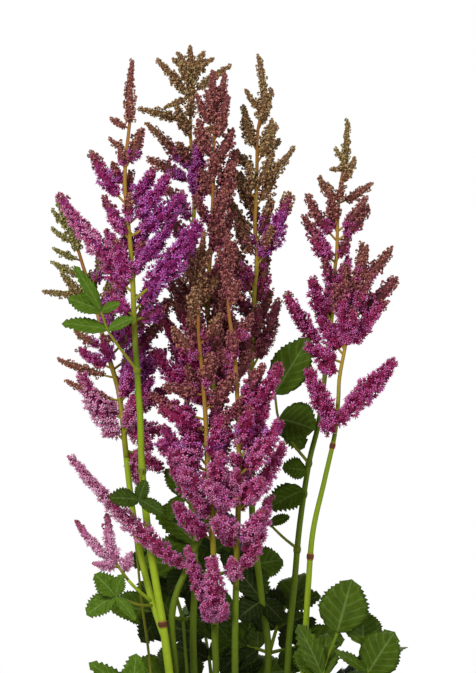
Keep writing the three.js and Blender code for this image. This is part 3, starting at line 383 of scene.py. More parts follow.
            (426, 52, -26, 463, 8.5, 1), (434.6, 107.9, -24, 468.5, 8.8, 1),
            (424, 61, -32, 428, 7.5, 1), (427, 76, -28, 436, 6.5, 1),
            (494.5, 108.6, -20, 521.8, 7.5, 0.4), (488, 69.6, -32, 517, 6.5, 0.3),
            (485, 101.4, -30, 506, 6, 0.6), (467, 50.7, -26, 478, 7.5, 1),
            (517, 106, -24, 541, 5.5, 0.2), (461, 58.5, -24, 465, 6, 1), (478, 93, -26, 493, 5.5, 0.9),
            (472, 60, -20, 496, 7, 1), (520, 90, -30, 542, 4.5, 0.2),
        ],
        "infill": [
            (474, 80, -30, 500, 6, 1), (480, 74, -36, 508, 6, 0.9), (498, 92, -36, 524, 5.5, 0.3),
            (505, 76, -18, 530, 5, 0.2), (430, 92, -26, 452, 8, 1), (425, 60, -22, 446, 7.5, 1),
        ],
        "filler": {
            "count": 5, "span": (470, 520), "reach": (18, 10), "rise": (18, 12),
            "radius": (6.5, 4.4), "open": (0.7, 0.2), "squeeze": 0.5,
        },
        "buds": [(500, WINE), (540, RED_BROWN)],
        "flowers": [(425, MAGENTA), (500, MAGENTA)],
    },
]

# --- leaves

# A petiole's radius, the share of it that is left at the end, and how much that end swells again.
PETIOLE = {"radius": 1.3, "narrowed": 0.72, "swell": 0.15}
# The quilt is how far a blade bulges at its notches and at its teeth, and blades as wide as full_quilt
# have all of it. Pairs of numbers after that are ranges of random draws.
LEAFLET = {
    "veins": 7, "thickness": 0.7, "fold": 0.16, "droop": 0.2, "columns": 4, "widening": 1.15,
    "quilt": (0.3, -0.25), "full_quilt": 14, "ripple": 0.05,
    "wave": (0.4, 1.0), "twist": (-0.12, 0.12), "ragged": (0.97, 1.03),
}

# Petioles are paths, and a fan is leaflets that spread from one hub: [hub, (leaflet tip, width), ...].
STEM_LEAVES = {
    "left": [
        {
            "shade": 3,
            "petioles": [[(-58.5, -43.5, 462), (-70, -50, 477), (-77.3, -53, 488), (-81.4, -55, 500)]],
            "fans": [
                [(-81.4, -55, 500), ((-99.1, -58, 529.6), 9), ((-103.4, -57, 508), 14),
                 ((-68.9, -59, 505), 8)],
                [(-77.3, -53, 488), ((-107, -56, 491.9), 11), ((-59.8, -55, 495.8), 8)],
            ],
        },
        {
            "shade": 3,
            "petioles": [[(-38, -10, 140), (-50, -8, 265), (-56, -8, 312), (-60, -8, 352)]],
            "fans": [],
        },
        {
            "shade": 1,
            "petioles": [[(-55, -40.5, 396), (-55.5, -53, 397), (-57, -66, 379)]],
            "fans": [
                [(-57, -66, 379), ((-52.6, -67, 392), 9), ((-76.7, -75, 380), 13),
                 ((-41, -70, 369.7), 10)],
            ],
        },
        {
            "shade": 3,
            "petioles": [[(-48.5, -29.5, 310), (-58, -44, 311), (-72.6, -52, 317)]],
            "fans": [
                [(-72.6, -52, 317), ((-86, -54, 331), 15), ((-68, -55, 331), 9),
                 ((-91, -54, 304.5), 15), ((-59, -56, 301), 8)],
            ],
        },
    ],
    "top_back": [
        {
            "shade": 2,
            "petioles": [[(-24, 7.4, 374), (-30, 2, 380)]],
            "fans": [
                [(-30, 2, 380), ((-41, 0, 398), 11), ((-39, -2, 364), 11), ((-21, -3, 400), 9)],
                [(-22, 5, 350), ((-50, -2, 374), 17), ((-46, 0, 346), 15)],
            ],
        },
    ],
    "right_centre": [
        {
            "shade": 0,
            "petioles": [],
            "fans": [[(22, 2, 312), ((2, 4, 336), 17), ((6, -2, 300), 19), ((36, 6, 298), 15)]],
        },
    ],
    "right_back": [
        {
            "shade": 2,
            "petioles": [
                [(52.4, 8, 401.5), (40.3, 5, 416.5), (33, 4, 430), (30.5, 3, 446)],
                [(45.2, 7.6, 345.6), (36, 5, 353), (27, 4, 361.8)],
            ],
            "fans": [
                [(30.5, 3, 446), ((53, 1, 483), 23)],
                [(33, 4, 430), ((57, -3, 423), 27), ((50, 12, 411), 18)],
                [(51.6, 8, 396), ((35, 4, 398), 16)],
                [(49.3, 8, 384), ((26.5, 2, 372), 19)],
                [(27, 4, 361.8), ((40.5, 1, 366.5), 8)],
            ],
        },
    ],
}

LONE_LEAVES = {
    "right": {
        "glossy": True,
        "shade": 2,
        "petioles": [
            [(44, -26, 150), (56, -28, 215), (61, -26, 264), (70.7, -24, 292)],
            [(56, -28, 215), (80, -24, 242), (90.9, -22, 266)],
            [(90.9, -22, 265), (87.5, -21, 284)],
        ],
        "fans": [
            [(70.7, -24, 292), ((80.1, -27, 327), 29)],
            [(87.5, -21, 284), ((87, -12, 306), 22)],
            [(90.9, -22, 266), ((108, -28, 293), 26), ((68.2, -36, 281), 8)],
            [(61, -26, 264), ((64, -12, 291), 18), ((43, -20, 280), 17), ((45, -30, 298), 16)],
        ],
    },
    "left": {
        "glossy": False,
        "shade": 3,
        "petioles": [[(-40, -28, 150), (-50, -42, 215), (-62, -48, 252)]],
        "fans": [
            [(-62, -48, 252), ((-89.7, -52, 274), 14), ((-59, -52, 280), 16), ((-92, -56, 247), 14),
             ((-38, -62, 262), 12)],
        ],
    },
}

# A mound leaf: how fast it arches back, its petiole's bend, its three arms (bearing, length) and the
# leaflets of each arm (turn, length, width), at its end and lower down.
MOUND = {
    "arch": (0.0042, 0.0026),
    "knee": (0.35, 0.6),
    "arms": [(0, 52), (74, 27), (-74, 27)],
    "leaflets": [(0, 46, 30), (64, 35, 24), (-64, 35, 24)],
    "lower": [(58, 31, 23), (-58, 31, 23)],
}

# Mound leaves: azimuth in degrees, root radius, hub radius, hub height, pitch in degrees, size.
MOUND_LEAVES = [
    (62, 44, 58, 276, 62, 0.7),
    (126, 40, 50, 298, 66, 0.72),
    (98, 48, 76, 254, 54, 0.84),
    (154, 44, 60, 226, 38, 0.82),
    (104, 28, 30, 328, 62, 0.68),
    (34, 48, 70, 240, 46, 0.8),
    (185, 48, 78, 222, 8, 0.9),
    (284, 50, 72, 210, 6, 0.92),
    (14, 48, 80, 216, 8, 0.9),
]

# --- maps

# Every piece's map has two bands: blades or florets below, and stalks above. Blades have a cell for each
# shade, from painted shade to painted light, and the top row is their underside.
STALK_BAND = 0.76
BLADE_COLUMNS = 4
BLADE_ROWS = 3
# Blades stay this share of a cell inside it, and their two ends a little less.
CELL_INSET = 0.04
END_INSET = 0.03

# --- small helpers


def unit(vectors):
    return vectors / np.linalg.norm(vectors, axis=-1, keepdims=True)


def mix(start, end, share):
    return start + (end - start) * share


def chance(i, j):
    """A repeatable random number from 0 to 1 for a pair of whole numbers."""
    wave = math.sin(i * 127.1 + j * 311.7) * 43758.5453
    return wave - math.floor(wave)


def tone_at(rows, height):
    """The tone at a height, from rows of (height, tone)."""
    heights, tones = zip(*rows)
    return np.interp(height, heights, tones)


class Line:
    """A smooth line held as close points, read by shares of its length."""

    def __init__(self, points):
        self.points = np.asarray(points, float)
        steps = np.linalg.norm(np.diff(self.points, axis=0), axis=1)
        self.along = np.concatenate([[0], np.cumsum(steps)])
        self.length = self.along[-1]

    def at(self, share):
        where = np.asarray(share, float) * self.length
        return np.stack([np.interp(where, self.along, axis) for axis in self.points.T], axis=-1)

    def direction(self, share):
        reach = 1 / self.length
        share = np.asarray(share, float)
        ahead = self.at(np.minimum(share + reach, 1))
        return unit(ahead - self.at(np.maximum(share - reach, 0)))

    def share_at_height(self, height):
        return np.interp(height, self.points[:, 2], self.along) / self.length

    def part(self, start, end):
        """The stretch of the line between two shares."""
        count = max(4, int(self.length * (end - start) / 2))
        return Line(self.at(np.linspace(start, end, count)))

    def rooted(self):
        """The line with its foot carried on into the soil."""
        foot = self.at(0) - self.direction(0) * ROOT_DEPTH
        return Line(np.vstack([foot[None], self.points]))


def curve_through(points, steps=24):
    """A uniform Catmull-Rom curve through points."""
    points = np.asarray(points, float)
    padded = np.vstack([2 * points[0] - points[1], points, 2 * points[-1] - points[-2]])
    t = np.linspace(0, 1, steps, endpoint=False)[:, None]
    found = []
    for a, b, c, d in zip(padded, padded[1:], padded[2:], padded[3:]):
        start, end = (c - a) / 2, (d - b) / 2
        found.append(
            (2 * t**3 - 3 * t**2 + 1) * b + (t**3 - 2 * t**2 + t) * start
            + (3 * t**2 - 2 * t**3) * c + (t**3 - t**2) * end
        )
    return Line(np.vstack([*found, points[-1:]]))


def bend_through(base, control, tip):
    """A simple bend between two points, pulled towards a third. It is also read by its bend's own share."""

    def bend_at(shares):
        t = np.asarray(shares)[:, None]
        return (1 - t) ** 2 * base + 2 * t * (1 - t) * control + t**2 * tip

    line = Line(bend_at(np.linspace(0, 1, 25)))
    line.bend_at = bend_at
    return line


def frames(directions, turns):
    """For each direction, three square axes as rows. The last is the direction, the others are turned."""
    directions = np.atleast_2d(directions)
    level = np.abs(directions[:, 2:]) < 0.9
    reference = np.where(level, [[0, 0, 1.0]], [[0, 1.0, 0]])
    across = unit(np.cross(reference, directions))
    upright = np.cross(directions, across)
    c, s = np.cos(turns)[:, None], np.sin(turns)[:, None]
    return np.stack([across * c + upright * s, upright * c - across * s, directions], axis=1)


def triangles(*corners):
    return np.stack(np.broadcast_arrays(*corners), axis=1)


def ringed_faces(rings, sides):
    """The triangles of a closed body of rings. The points after them are the middles of its two ends."""
    near = np.arange(sides)
    after = (near + 1) % sides
    first = np.arange(rings - 1)[:, None] * sides
    a, b = (first + near).ravel(), (first + after).ravel()
    last, foot = (rings - 1) * sides, rings * sides
    return np.vstack([
        triangles(a, b, b + sides),
        triangles(a, b + sides, a + sides),
        triangles(after, near, foot),
        triangles(near + last, after + last, foot + 1),
    ])


# --- pieces


class Skin:
    """Gathers points, triangles, places on the map and materials, and becomes one piece."""

    def __init__(self):
        self.points, self.faces, self.places, self.slots = [], [], [], []
        self.count = 0

    def add(self, points, faces, places, slot=0):
        self.points.append(points)
        self.faces.append(faces + self.count)
        self.places.append(places)
        self.slots.append(np.full(len(faces), slot))
        self.count += len(points)

    def copies(self, template, origins, axes, sizes, tones):
        """Adds one copy of a template at each origin."""
        points, faces, places = template
        count = len(origins)
        if count == 0:
            return
        placed = origins[:, None] + sizes[:, None, None] * np.einsum("kj,nji->nki", points, axes)
        shift = (np.arange(count) * len(points))[:, None, None]
        spots = np.broadcast_to(places, (count, *places.shape)).copy()
        spots[:, :, 0] += tones[:, None]
        self.add(placed.reshape(-1, 3), (faces + shift).reshape(-1, 3), spots.reshape(-1, 2))

    def mesh(self, name):
        points = np.vstack(self.points) * MM
        faces = np.vstack(self.faces).astype(np.int32)
        places = np.clip(np.vstack(self.places), 0, 1)
        mesh = bpy.data.meshes.new(name)
        mesh.vertices.add(len(points))
        mesh.vertices.foreach_set("co", points.astype(np.float32).ravel())
        mesh.loops.add(faces.size)
        mesh.loops.foreach_set("vertex_index", faces.ravel())
        mesh.polygons.add(len(faces))
        mesh.polygons.foreach_set("loop_start", np.arange(0, faces.size, 3, dtype=np.int32))
        mesh.polygons.foreach_set("material_index", np.concatenate(self.slots).astype(np.int32))
        mesh.update(calc_edges=True)
        corners = places[faces.ravel()].astype(np.float32).ravel()
        for map_name in ("Tone", "OFBake"):
            mesh.uv_layers.new(name=map_name).data.foreach_set("uv", corners)
        mesh.shade_smooth()
        return mesh


def make_piece(name, mesh, materials, node):
    for material in materials:
        mesh.materials.append(material)
    piece = bpy.data.objects.new(name, mesh)
    bpy.context.scene.collection.objects.link(piece)
    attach(piece, "root")
    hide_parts(node)
    return piece


# --- tubes

# On the map, a tube's tone differs a little round it. Its place in the stalks' band wanders with its
# height at a pace, weaves round it, and keeps a margin.
TUBE_MAP = {"round": 0.015, "wander": 0.42, "pace": 0.05, "weave": 0.06, "margin": 0.01}


def tube_rings(line, shares, sides):
    """The centres of a tube's rings, the directions round each, which don't twist, and their angles."""
    forward = line.direction(shares)
    across = np.empty_like(forward)
    side = np.cross(forward[0], [0, 1.0, 0.01])
    for index, way in enumerate(forward):
        side = unit(side - way * np.dot(side, way))
        across[index] = side
    upright = np.cross(forward, across)
    angles = np.linspace(0, 2 * math.pi, sides, endpoint=False)
    outward = across[:, None] * np.cos(angles)[:, None] + upright[:, None] * np.sin(angles)[:, None]
    return line.at(shares), outward, angles


def add_tube(skin, line, radius_at, step, sides, tone, slot=0):
    """A closed round tube along a line. Its tone is a number, or is read at each height."""
    count = max(3, int(line.length / step) + 1)
    shares = np.linspace(0, 1, count)
    centres, outward, angles = tube_rings(line, shares, sides)
    radii = np.array([radius_at(share) for share in shares])
    points = centres[:, None] + outward * radii[:, None, None]
    x, z = centres[:, 0], centres[:, 2]
    tones = np.array([tone(height) if callable(tone) else tone for height in z])
    streak = 0.5 + TUBE_MAP["wander"] * np.sin(z * TUBE_MAP["pace"] + x)
    across_band = np.clip(streak[:, None] + TUBE_MAP["weave"] * np.sin(angles), 0, 1)
    spots = np.empty((count, sides, 2))
    spots[..., 0] = tones[:, None] + TUBE_MAP["round"] * np.cos(angles)
    spots[..., 1] = mix(STALK_BAND + TUBE_MAP["margin"], 1 - TUBE_MAP["margin"], across_band)
    points = np.vstack([points.reshape(-1, 3), centres[:1], centres[-1:]])
    spots = np.vstack([spots.reshape(-1, 2), spots[0, :1], spots[-1, :1]])
    skin.add(points, ringed_faces(count, sides), spots, slot)


# --- florets

# The lightest place of a floret on the map. Florets are dark at the foot with painted shade, and light at the
# tip, where petals are lilac and buds carry a painted highlight.
FLORET_TOP = STALK_BAND - 0.04
MAP_WIDTH = 0.012
OPEN_FLORET = {
    "petals": 6, "length": (2.2, 3.1), "width": 1.1, "widest": 0.6, "lean": (0.7, 1.35), "heart": 1.35,
}
# From the shaded florets, between the clumps, to the lit ones.
FLORET_LIGHT = (0.3, 0.5, 0.72, 0.88, 1, 1)
BUD = {"sides": 5, "radius": (0.78, 0.95), "uneven": 0.3, "foot": -0.9, "tip": 1.05}
# A knob's buds, how far from its axis the last one leans, its girth, and how light its foot is under painted
# shade.
BUD_KNOB = {"buds": 7, "lean": 1.9, "girth": 1.25, "foot_light": 0.55, "kinds": 4}


def joined(shapes):
    points, faces, places = [], [], []
    count = 0
    for shape in shapes:
        points.append(shape[0])
        faces.append(shape[1] + count)
        places.append(shape[2])
        count += len(shape[0])
    return np.vstack(points), np.vstack(faces), np.vstack(places)


def heading(lean, turn):
    """The direction that leans so far from +Z, at a turn round it."""
    return np.array([math.sin(lean) * math.cos(turn), math.sin(lean) * math.sin(turn), math.cos(lean)])


def heart(radius):
    """The small round middle of an open floret, as one ring and its two ends."""
    points = [[1, 0, 0], [0, 1, 0], [-1, 0, 0], [0, -1, 0], [0, 0, -1], [0, 0, 1]]
    places = [[MAP_WIDTH, 0.18], [0, 0.2], [-MAP_WIDTH, 0.18], [0, 0.2], [0, 0.05], [0, 0.3]]
    return radius * np.array(points, float), ringed_faces(1, 4), np.array(places)


def petal(way, length):
    """A slim closed blade along a direction, widest past its middle and lightest at its tip."""
    across = unit(np.cross([0, 0.01, 1.0], way))
    raised = np.cross(way, across)
    half, swell = OPEN_FLORET["width"] / 2, OPEN_FLORET["widest"] * length
    middle = way * swell + raised * 0.12 * length
    points = np.array([way * 0.3, middle + across * half, middle - across * half, way * length])
    faces = np.array([[0, 2, 1], [1, 2, 3], [0, 1, 3], [0, 3, 2]])
    places = np.array([[0, 0.3], [MAP_WIDTH, 0.5], [-MAP_WIDTH, 0.5], [0, FLORET_TOP]])
    return points, faces, places


def open_floret(seed, light):
    """An open floret, 5 to 6 mm across: slim petals round a small heart."""
    rng = np.random.default_rng(seed)
    shapes = [heart(OPEN_FLORET["heart"])]
    count = OPEN_FLORET["petals"]
    for index in range(count):
        lean = rng.uniform(*OPEN_FLORET["lean"]) if index else rng.uniform(0.05, 0.3)
        way = heading(lean, (index + rng.uniform(-0.25, 0.25)) * 2 * math.pi / (count - 1))
        shapes.append(petal(way, rng.uniform(*OPEN_FLORET["length"])))
    points, faces, places = joined(shapes)
    return points, faces, places * [1, light]


def bud(rng):
    """A tight bud, about 2 mm long, with five sides."""
    sides = BUD["sides"]
    angles = np.arange(sides) * 2 * math.pi / sides
    radii = rng.uniform(*BUD["radius"], sides)
    heights = rng.uniform(0, BUD["uneven"], sides)
    ring = np.stack([radii * np.cos(angles), radii * np.sin(angles), heights], axis=1)
    points = np.vstack([ring, [[0, 0, BUD["foot"]], [0, 0, BUD["tip"]]]])
    # Painted light: each bud is dark with painted shade at its foot and light with a painted highlight at its
    # tip.
    middle = np.stack([MAP_WIDTH * np.cos(angles), np.full(sides, 0.36)], axis=1)
    return points, ringed_faces(1, sides), np.vstack([middle, [[0, 0.02], [0, FLORET_TOP]]])


def bud_knob(seed):
    """A knob of buds all round the outer end of a short shoot, darkened with painted shade towards its foot.
    """
    rng = np.random.default_rng(seed)
    girth = BUD_KNOB["girth"]
    shapes = []
    for index in range(BUD_KNOB["buds"]):
        share = index / (BUD_KNOB["buds"] - 1)
        lean = share * BUD_KNOB["lean"] + rng.uniform(-0.12, 0.12)
        way = heading(lean, index * GOLDEN_ANGLE + rng.uniform(-0.3, 0.3))
        points, faces, places = bud(rng)
        turned = points @ frames(way[None], rng.uniform(0, ABOUT_A_TURN, 1))[0] * rng.uniform(0.85, 1.15)
        foot_shaded_places = places * [1, mix(1, BUD_KNOB["foot_light"], share)] + [rng.normal(0, 0.02), 0]
        shapes.append((turned + way * [girth, girth, girth * 1.5], faces, foot_shaded_places))
    return joined(shapes)


BUD_KNOBS = [bud_knob(seed) for seed in range(BUD_KNOB["kinds"])]
OPEN_FLORETS = [open_floret(seed, light) for seed, light in enumerate(FLORET_LIGHT)]

# --- growing the plumes


def branch_line(base, tip, bend):
    """A curved side branch. Most leave the stem outwards and then rise, and arching ones rise first."""
    outwards, upwards = bend
    return bend_through(base, base + (tip - base) * np.array([outwards, outwards, upwards]), tip)


def floret_radius(radius, share):
    """The florets' outer radius along a branch: quickly full, then narrowing to a blunt tip."""
    share = np.asarray(share, float)
    along = (share - BRANCH["bare"]) / (1 - BRANCH["bare"])
    along_full = np.clip(along, 0, 1)
    full = 1 - BRANCH["narrowing"] * along_full**1.6
    swell = mix(BRANCH["foot"], 1, np.minimum(1, along_full * 4))
    return radius * np.where(along < 0, BRANCH["foot"] * share / BRANCH["bare"], full * swell)


def stem_radius(stem, share):
    """A stem keeps most of its thickness up to its plume and thins towards the tip."""
    return mix(*stem["radius"], share**STEM_TAPER)


def balls_of(line, radius):
    """Balls along a branch that hold its florets: (x, y, z, radius) rows."""
    count = max(4, math.ceil(line.length / radius * 1.5))
    shares = np.arange(1, count + 1) / count
    return np.column_stack([line.bend_at(shares), floret_radius(radius, shares) + CLEAR_OF_OTHERS / 2])


def meets(balls, others):
    apart = np.linalg.norm(balls[:, None, :3] - others[None, :, :3], axis=2)
    return bool((apart < balls[:, None, 3] + others[None, :, 3]).any())


def filler_rows(stem, order):
    """The rows of a stem's rule-set branches, each like a row of its branches."""
    rule = stem["filler"]
    if not rule:
        return []
    rows = []
    for index in range(rule["count"]):
        share = (index + 0.5) / rule["count"]
        height = mix(*rule["span"], share)
        angle = index * GOLDEN_ANGLE + order
        length = mix(*rule["reach"], share) * (0.85 + 0.3 * chance(order, index))
        base = stem["line"].at(stem["line"].share_at_height(height))
        rows.append((
            height,
            base[0] + length * math.cos(angle) * rule["squeeze"],
            base[1] + length * math.sin(angle),
            height + mix(*rule["rise"], share),
            mix(*rule["radius"], share),
            mix(*rule["open"], share),
        ))
    return rows


def grow_branch(order, row, grown):
    """Shortens a branch until it clears every other plume, and leaves it out where even a stub meets one."""
    height, x, y, z, radius, openness = row
    stem = STEMS[order]
    base = stem["line"].at(stem["line"].share_at_height(height))
    others = np.vstack([balls for owner, balls in grown if owner != order])
    reach = 1.0
    while reach > CUT_BACK["shortest"]:
        tip = mix(base, np.array([x, y, z], float), reach)
        line = branch_line(base, tip, stem.get("bend", BRANCH["bend"]))
        thick = radius * (0.5 + 0.5 * reach)
        balls = balls_of(line, thick)
        if not meets(balls, others):
            grown.append((order, balls))
            stem["grown"].append({"line": line, "radius": thick, "open": openness})
            return
        reach *= CUT_BACK["step"]


def grow_stems():
    """Works out every stem's line and branches: named ones first, then the rule-set ones and the infill."""
    grown = []
    shares = np.linspace(0, 1, 101)
    for order, stem in enumerate(STEMS):
        stem["line"] = curve_through(stem["path"])
        stem["start"] = stem["line"].share_at_height(stem["panicle"])
        stem["grown"] = []
        radii = mix(*stem["radius"], shares) + CLEAR_OF_OTHERS / 2
        grown.append((order, np.column_stack([stem["line"].at(shares), radii])))
    for rows_of_stems in (
        [stem["branches"] for stem in STEMS],
        [filler_rows(stem, order) for order, stem in enumerate(STEMS)],
        [stem.get("infill", ()) for stem in STEMS],
    ):
        for order, rows in enumerate(rows_of_stems):
            for row in rows:
                grow_branch(order, row, grown)


# --- dressing the plumes

# Knobs of open florets, and of buds: how much of a branch's sleeve one takes in square millimetres, the
# share of the sleeve's radius that its core fills, and how much the clumps swell the sleeve.
KNOBS = {
    "open": {"templates": OPEN_FLORETS, "area": 13.2, "core": 0.46, "swell": 0.2},
    "closed": {"templates": BUD_KNOBS, "area": 20.5, "core": 0.58, "swell": 0.32},
}
# How far a knob reaches out from its origin, the sleeve's radius where it has size 1, and its sizes' limits.
KNOB_REACH = 2.1
KNOB_FITS = 5.2
KNOB_SIZES = (0.78, 1.05)
# A branch no more open than this has buds alone, and they show nothing of the flowers' colour.
BUDS_ALONE = 0.15
# How much paler the open florets get towards the left edge of the plant, and where that starts: painted light
# on the side the key lamp lights.
LIT_SIDE_PALING = {"tone": 0.18, "from": -45, "over": 44}
# The core of a sleeve, dark with painted shade: where it ends, and how light it is under open florets and
# under buds.
CORE = {"end": 0.97, "open_light": 0.1, "bud_light": 0.12}
# A plume's own stem: how far above the stalk it starts, the share of the stem where it ends inside the
# last florets, and its tones from below to above.
STEM_GAP = 0.3
STEM_END = 0.992
PLUME_TONES = (0.42, 0.82)


def knob_size(radius):
    return np.clip(radius / KNOB_FITS, *KNOB_SIZES)


def places_round(line, radius_of, start, area, rng):
    """Places round a line by the golden angle, as many as its sleeve has room for knobs."""
    shares = np.linspace(start, 1, 60)
    radii = radius_of(shares)
    room = 2 * math.pi * np.maximum(radii, 1.8) * line.length / (area * knob_size(radii) ** 2)
    filled = np.concatenate([[0], np.cumsum(room[:-1] * np.diff(shares))])
    count = max(4, int(filled[-1]))
    order = (np.arange(count) + rng.uniform(0.2, 0.8, count)) / count
    places = np.interp(order * filled[-1], filled, shares)
    turns = np.arange(count) * GOLDEN_ANGLE + rng.uniform(0, ABOUT_A_TURN) + rng.normal(0, 0.2, count)
    axes = frames(line.direction(places), turns)
    return places, turns, axes[:, 0], axes[:, 2]


def clumps(far, turns):
    """From -1 between the clumps of a sleeve to 1 on them, at places along and round it."""
    return np.sin(far * 1.1 + 2 * turns) * np.sin(turns * 1.5 + far * 0.35)


def knob_tones(stem, origins, opens, openness, is_open):
    """Open florets pale to the left, with painted light on the lit side. Buds near them already show the
    flowers' colour.
    """
    flowers = tone_at(stem["flowers"], origins[:, 2])
    if is_open:
        paler = np.clip((LIT_SIDE_PALING["from"] - origins[:, 0]) / LIT_SIDE_PALING["over"], 0, 1)
        return flowers + LIT_SIDE_PALING["tone"] * paler
    tinge = np.clip(1 + opens / 0.3, 0, 1) * (openness > BUDS_ALONE)
    return mix(tone_at(stem["buds"], origins[:, 2]), np.minimum(flowers, MAGENTA), 0.7 * tinge)


def add_knobs(skin, line, radius_of, start, openness, stem, kind, rng):
    """Covers a line with one kind of knobs: open florets up to its openness, or buds from there on."""
    knob, is_open = KNOBS[kind], kind == "open"
    places, turns, outward, forward = places_round(line, radius_of, start, knob["area"], rng)
    along = (places - start) / (1 - start)
    opens = openness * 1.06 - along + rng.normal(0, 0.06, len(along))
    own = ((opens > 0) & (openness > BUDS_ALONE)) == is_open
    if not own.any():
        return
    found = (places, turns, outward, forward, along, opens)
    places, turns, outward, forward, along, opens = (values[own] for values in found)
    count = len(places)
    crest = clumps(places * line.length, turns)
    reach = radius_of(places) * (1 + knob["swell"] * crest) * rng.uniform(0.82, 1.14, count)
    sizes = knob_size(reach) * rng.uniform(0.85, 1.12, count)
    origins = line.at(places) + outward * np.maximum(reach - KNOB_REACH * sizes, 0.2)[:, None]
    late = along[:, None] ** 3
    ways = unit(outward * (1 - late) + forward * (0.45 + late) + rng.normal(0, 0.2, (count, 3)))
    tones = knob_tones(stem, origins, opens, openness, is_open) + rng.normal(0, 0.025, count)
    axes = frames(ways, rng.uniform(0, ABOUT_A_TURN, count))
    # Painted light and shade: open florets on the clumps take the lighter templates, and those between them
    # the darker ones. The knobs of buds differ only at random.
    lit = np.clip(0.5 + 0.55 * crest + rng.normal(0, 0.16, count), 0, 0.999)
    chosen = (lit * len(knob["templates"])).astype(int)
    for index, template in enumerate(knob["templates"]):
        these = chosen == index
        skin.copies(template, origins[these], axes[these], sizes[these], tones[these])


def add_core(skin, line, radius_of, start, openness, stem):
    """The dark inside of a sleeve of florets, painted shade that closes the gaps between them."""

    def radius_at(share):
        kind = "open" if share < openness else "closed"
        return KNOBS[kind]["core"] * max(0.0, float(radius_of(mix(start, CORE["end"], share))))

    mostly_open = openness > 0.5
    middle = (line.at(start)[2] + line.at(1)[2]) / 2
    tone = float(tone_at(stem["flowers" if mostly_open else "buds"], middle))
    before = len(skin.places)
    add_tube(skin, line.part(start, CORE["end"]), radius_at, step=2.5, sides=6, tone=tone)
    skin.places[before][:, 1] = CORE["open_light" if mostly_open else "bud_light"]


def dress(skin, line, radius_of, start, openness, stem, rng):
    """Covers a line with open florets, with buds, and with the dark core that they sit on."""
    for kind in KNOBS:
        add_knobs(skin, line, radius_of, start, openness, stem, kind, rng)
    add_core(skin, line, radius_of, start, openness, stem)


def plume_tone(stem):
    """The tone of a plume's own stem: greener below and browner above."""
    low, high = stem["panicle"], stem["path"][-1][2]

    def tone(z):
        return mix(*PLUME_TONES, np.clip((z - low) / (high - low) * 1.3, 0, 1))

    return tone


def add_branch(skin, branch, tone, stem, rng):
    line, radius = branch["line"], branch["radius"]

    def twig_radius(share):
        return mix(0.85, 0.35, share) * (0.75 + 0.05 * radius)

    def sleeve_radius(share):
        return floret_radius(radius, share)

    add_tube(skin, line, twig_radius, step=3, sides=5, tone=tone, slot=1)
    dress(skin, line, sleeve_radius, BRANCH["bare"] * 0.7, branch["open"], stem, rng)


def add_plume(stem, order, materials):
    """The stem inside a plume, its branches, and the florets round them and round its tip."""
    skin = Skin()
    rng = np.random.default_rng(PLUME_SEED + order)
    line, start = stem["line"], stem["start"]
    tone = plume_tone(stem)
    height, radius, openness = stem["spike"]

    def axis_radius(share):
        return stem_radius(stem, mix(start, STEM_END, share))

    def spike_radius(share):
        return radius * (1 - 0.5 * np.asarray(share) ** 2)

    axis = line.part(start + STEM_GAP / line.length, STEM_END)
    add_tube(skin, axis, axis_radius, step=3, sides=9, tone=tone, slot=1)
    for branch in stem["grown"]:
        add_branch(skin, branch, tone, stem, rng)
    dress(skin, line.part(line.share_at_height(height), 1), spike_radius, 0, openness, stem, rng)
    node = "plume_" + stem["name"]
    make_piece("florets_" + stem["name"], skin.mesh(node), materials, node)


# --- leaves

LEAF_UP = np.array([0.1, -0.85, 0.5])
STEM_PETIOLE = {"tone": 0.44, "girth": 0.82}


def leaflet_rows(teeth, depth):
    """Rows of a leaflet, a notch and a point for each tooth: (share of its length, of its half width)."""
    rows = [(0.01, 0.1), (0.04, 0.36)]
    for tooth in range(teeth):
        pitch = 0.84 / teeth
        share = 0.09 + pitch * tooth
        swell = math.sin(math.pi * share**0.72) ** 0.7
        rows.append((share, swell * (1 - depth)))
        rows.append((share + 0.66 * pitch, swell * (1.03 if tooth % 2 else 1.0)))
    rows.append((0.965, 0.14))
    return rows


# Wide leaflets have many shallow teeth, and narrow ones a few deep ones.
WIDE_LEAFLET = 20
BROAD_ROWS = leaflet_rows(12, 0.05)
NARROW_ROWS = leaflet_rows(8, 0.16)


def blade_relief(width, length, rng):
    """Draws a blade's ripple and twist, and returns how far the blade is raised at each of its points."""
    wave, phase = rng.uniform(*LEAFLET["wave"]), rng.uniform(0, ABOUT_A_TURN)
    twist = rng.uniform(*LEAFLET["twist"])

    def lift_at(row, share, side, reach):
        puff = LEAFLET["quilt"][row % 2] * math.sin(math.pi * min(1, abs(side) * 1.1))
        ripple = wave * LEAFLET["ripple"] * width * abs(side) ** 2 * math.sin(share * 9 + phase + side)
        return (
            LEAFLET["fold"] * abs(reach) + LEAFLET["droop"] * length * share * (1 - share)
            + puff * min(1, width / LEAFLET["full_quilt"]) + ripple + twist * reach
        )

    return lift_at


def blade_faces(rows, wide):
    """The triangles of a blade: both its faces, which share their edges, and a fan at each of its ends."""
    a = (np.arange(rows - 1)[:, None] * wide + np.arange(wide - 1)).ravel()
    upper = np.vstack([triangles(a, a + 1, a + wide + 1), triangles(a, a + wide + 1, a + wide)])
    shift = rows * wide
    first = np.arange(wide - 1)
    last = first + (rows - 1) * wide
    caps = np.vstack([triangles(first + 1, first, 2 * shift), triangles(last, last + 1, 2 * shift + 1)])
    lower_caps = np.where(caps < shift, caps + shift, caps)[:, ::-1]
    edge = np.concatenate([np.arange(rows) * wide, np.arange(rows) * wide + wide - 1])
    merge = np.arange(2 * shift + 2)
    merge[edge + shift] = edge
    return merge[np.vstack([upper, upper[:, ::-1] + shift, caps, lower_caps])]


def cell_place(column, row, across, along):
    """The place on the map at shares across and along one of the blades' cells."""
    return (column + across) / BLADE_COLUMNS, (row + along) / BLADE_ROWS * STALK_BAND


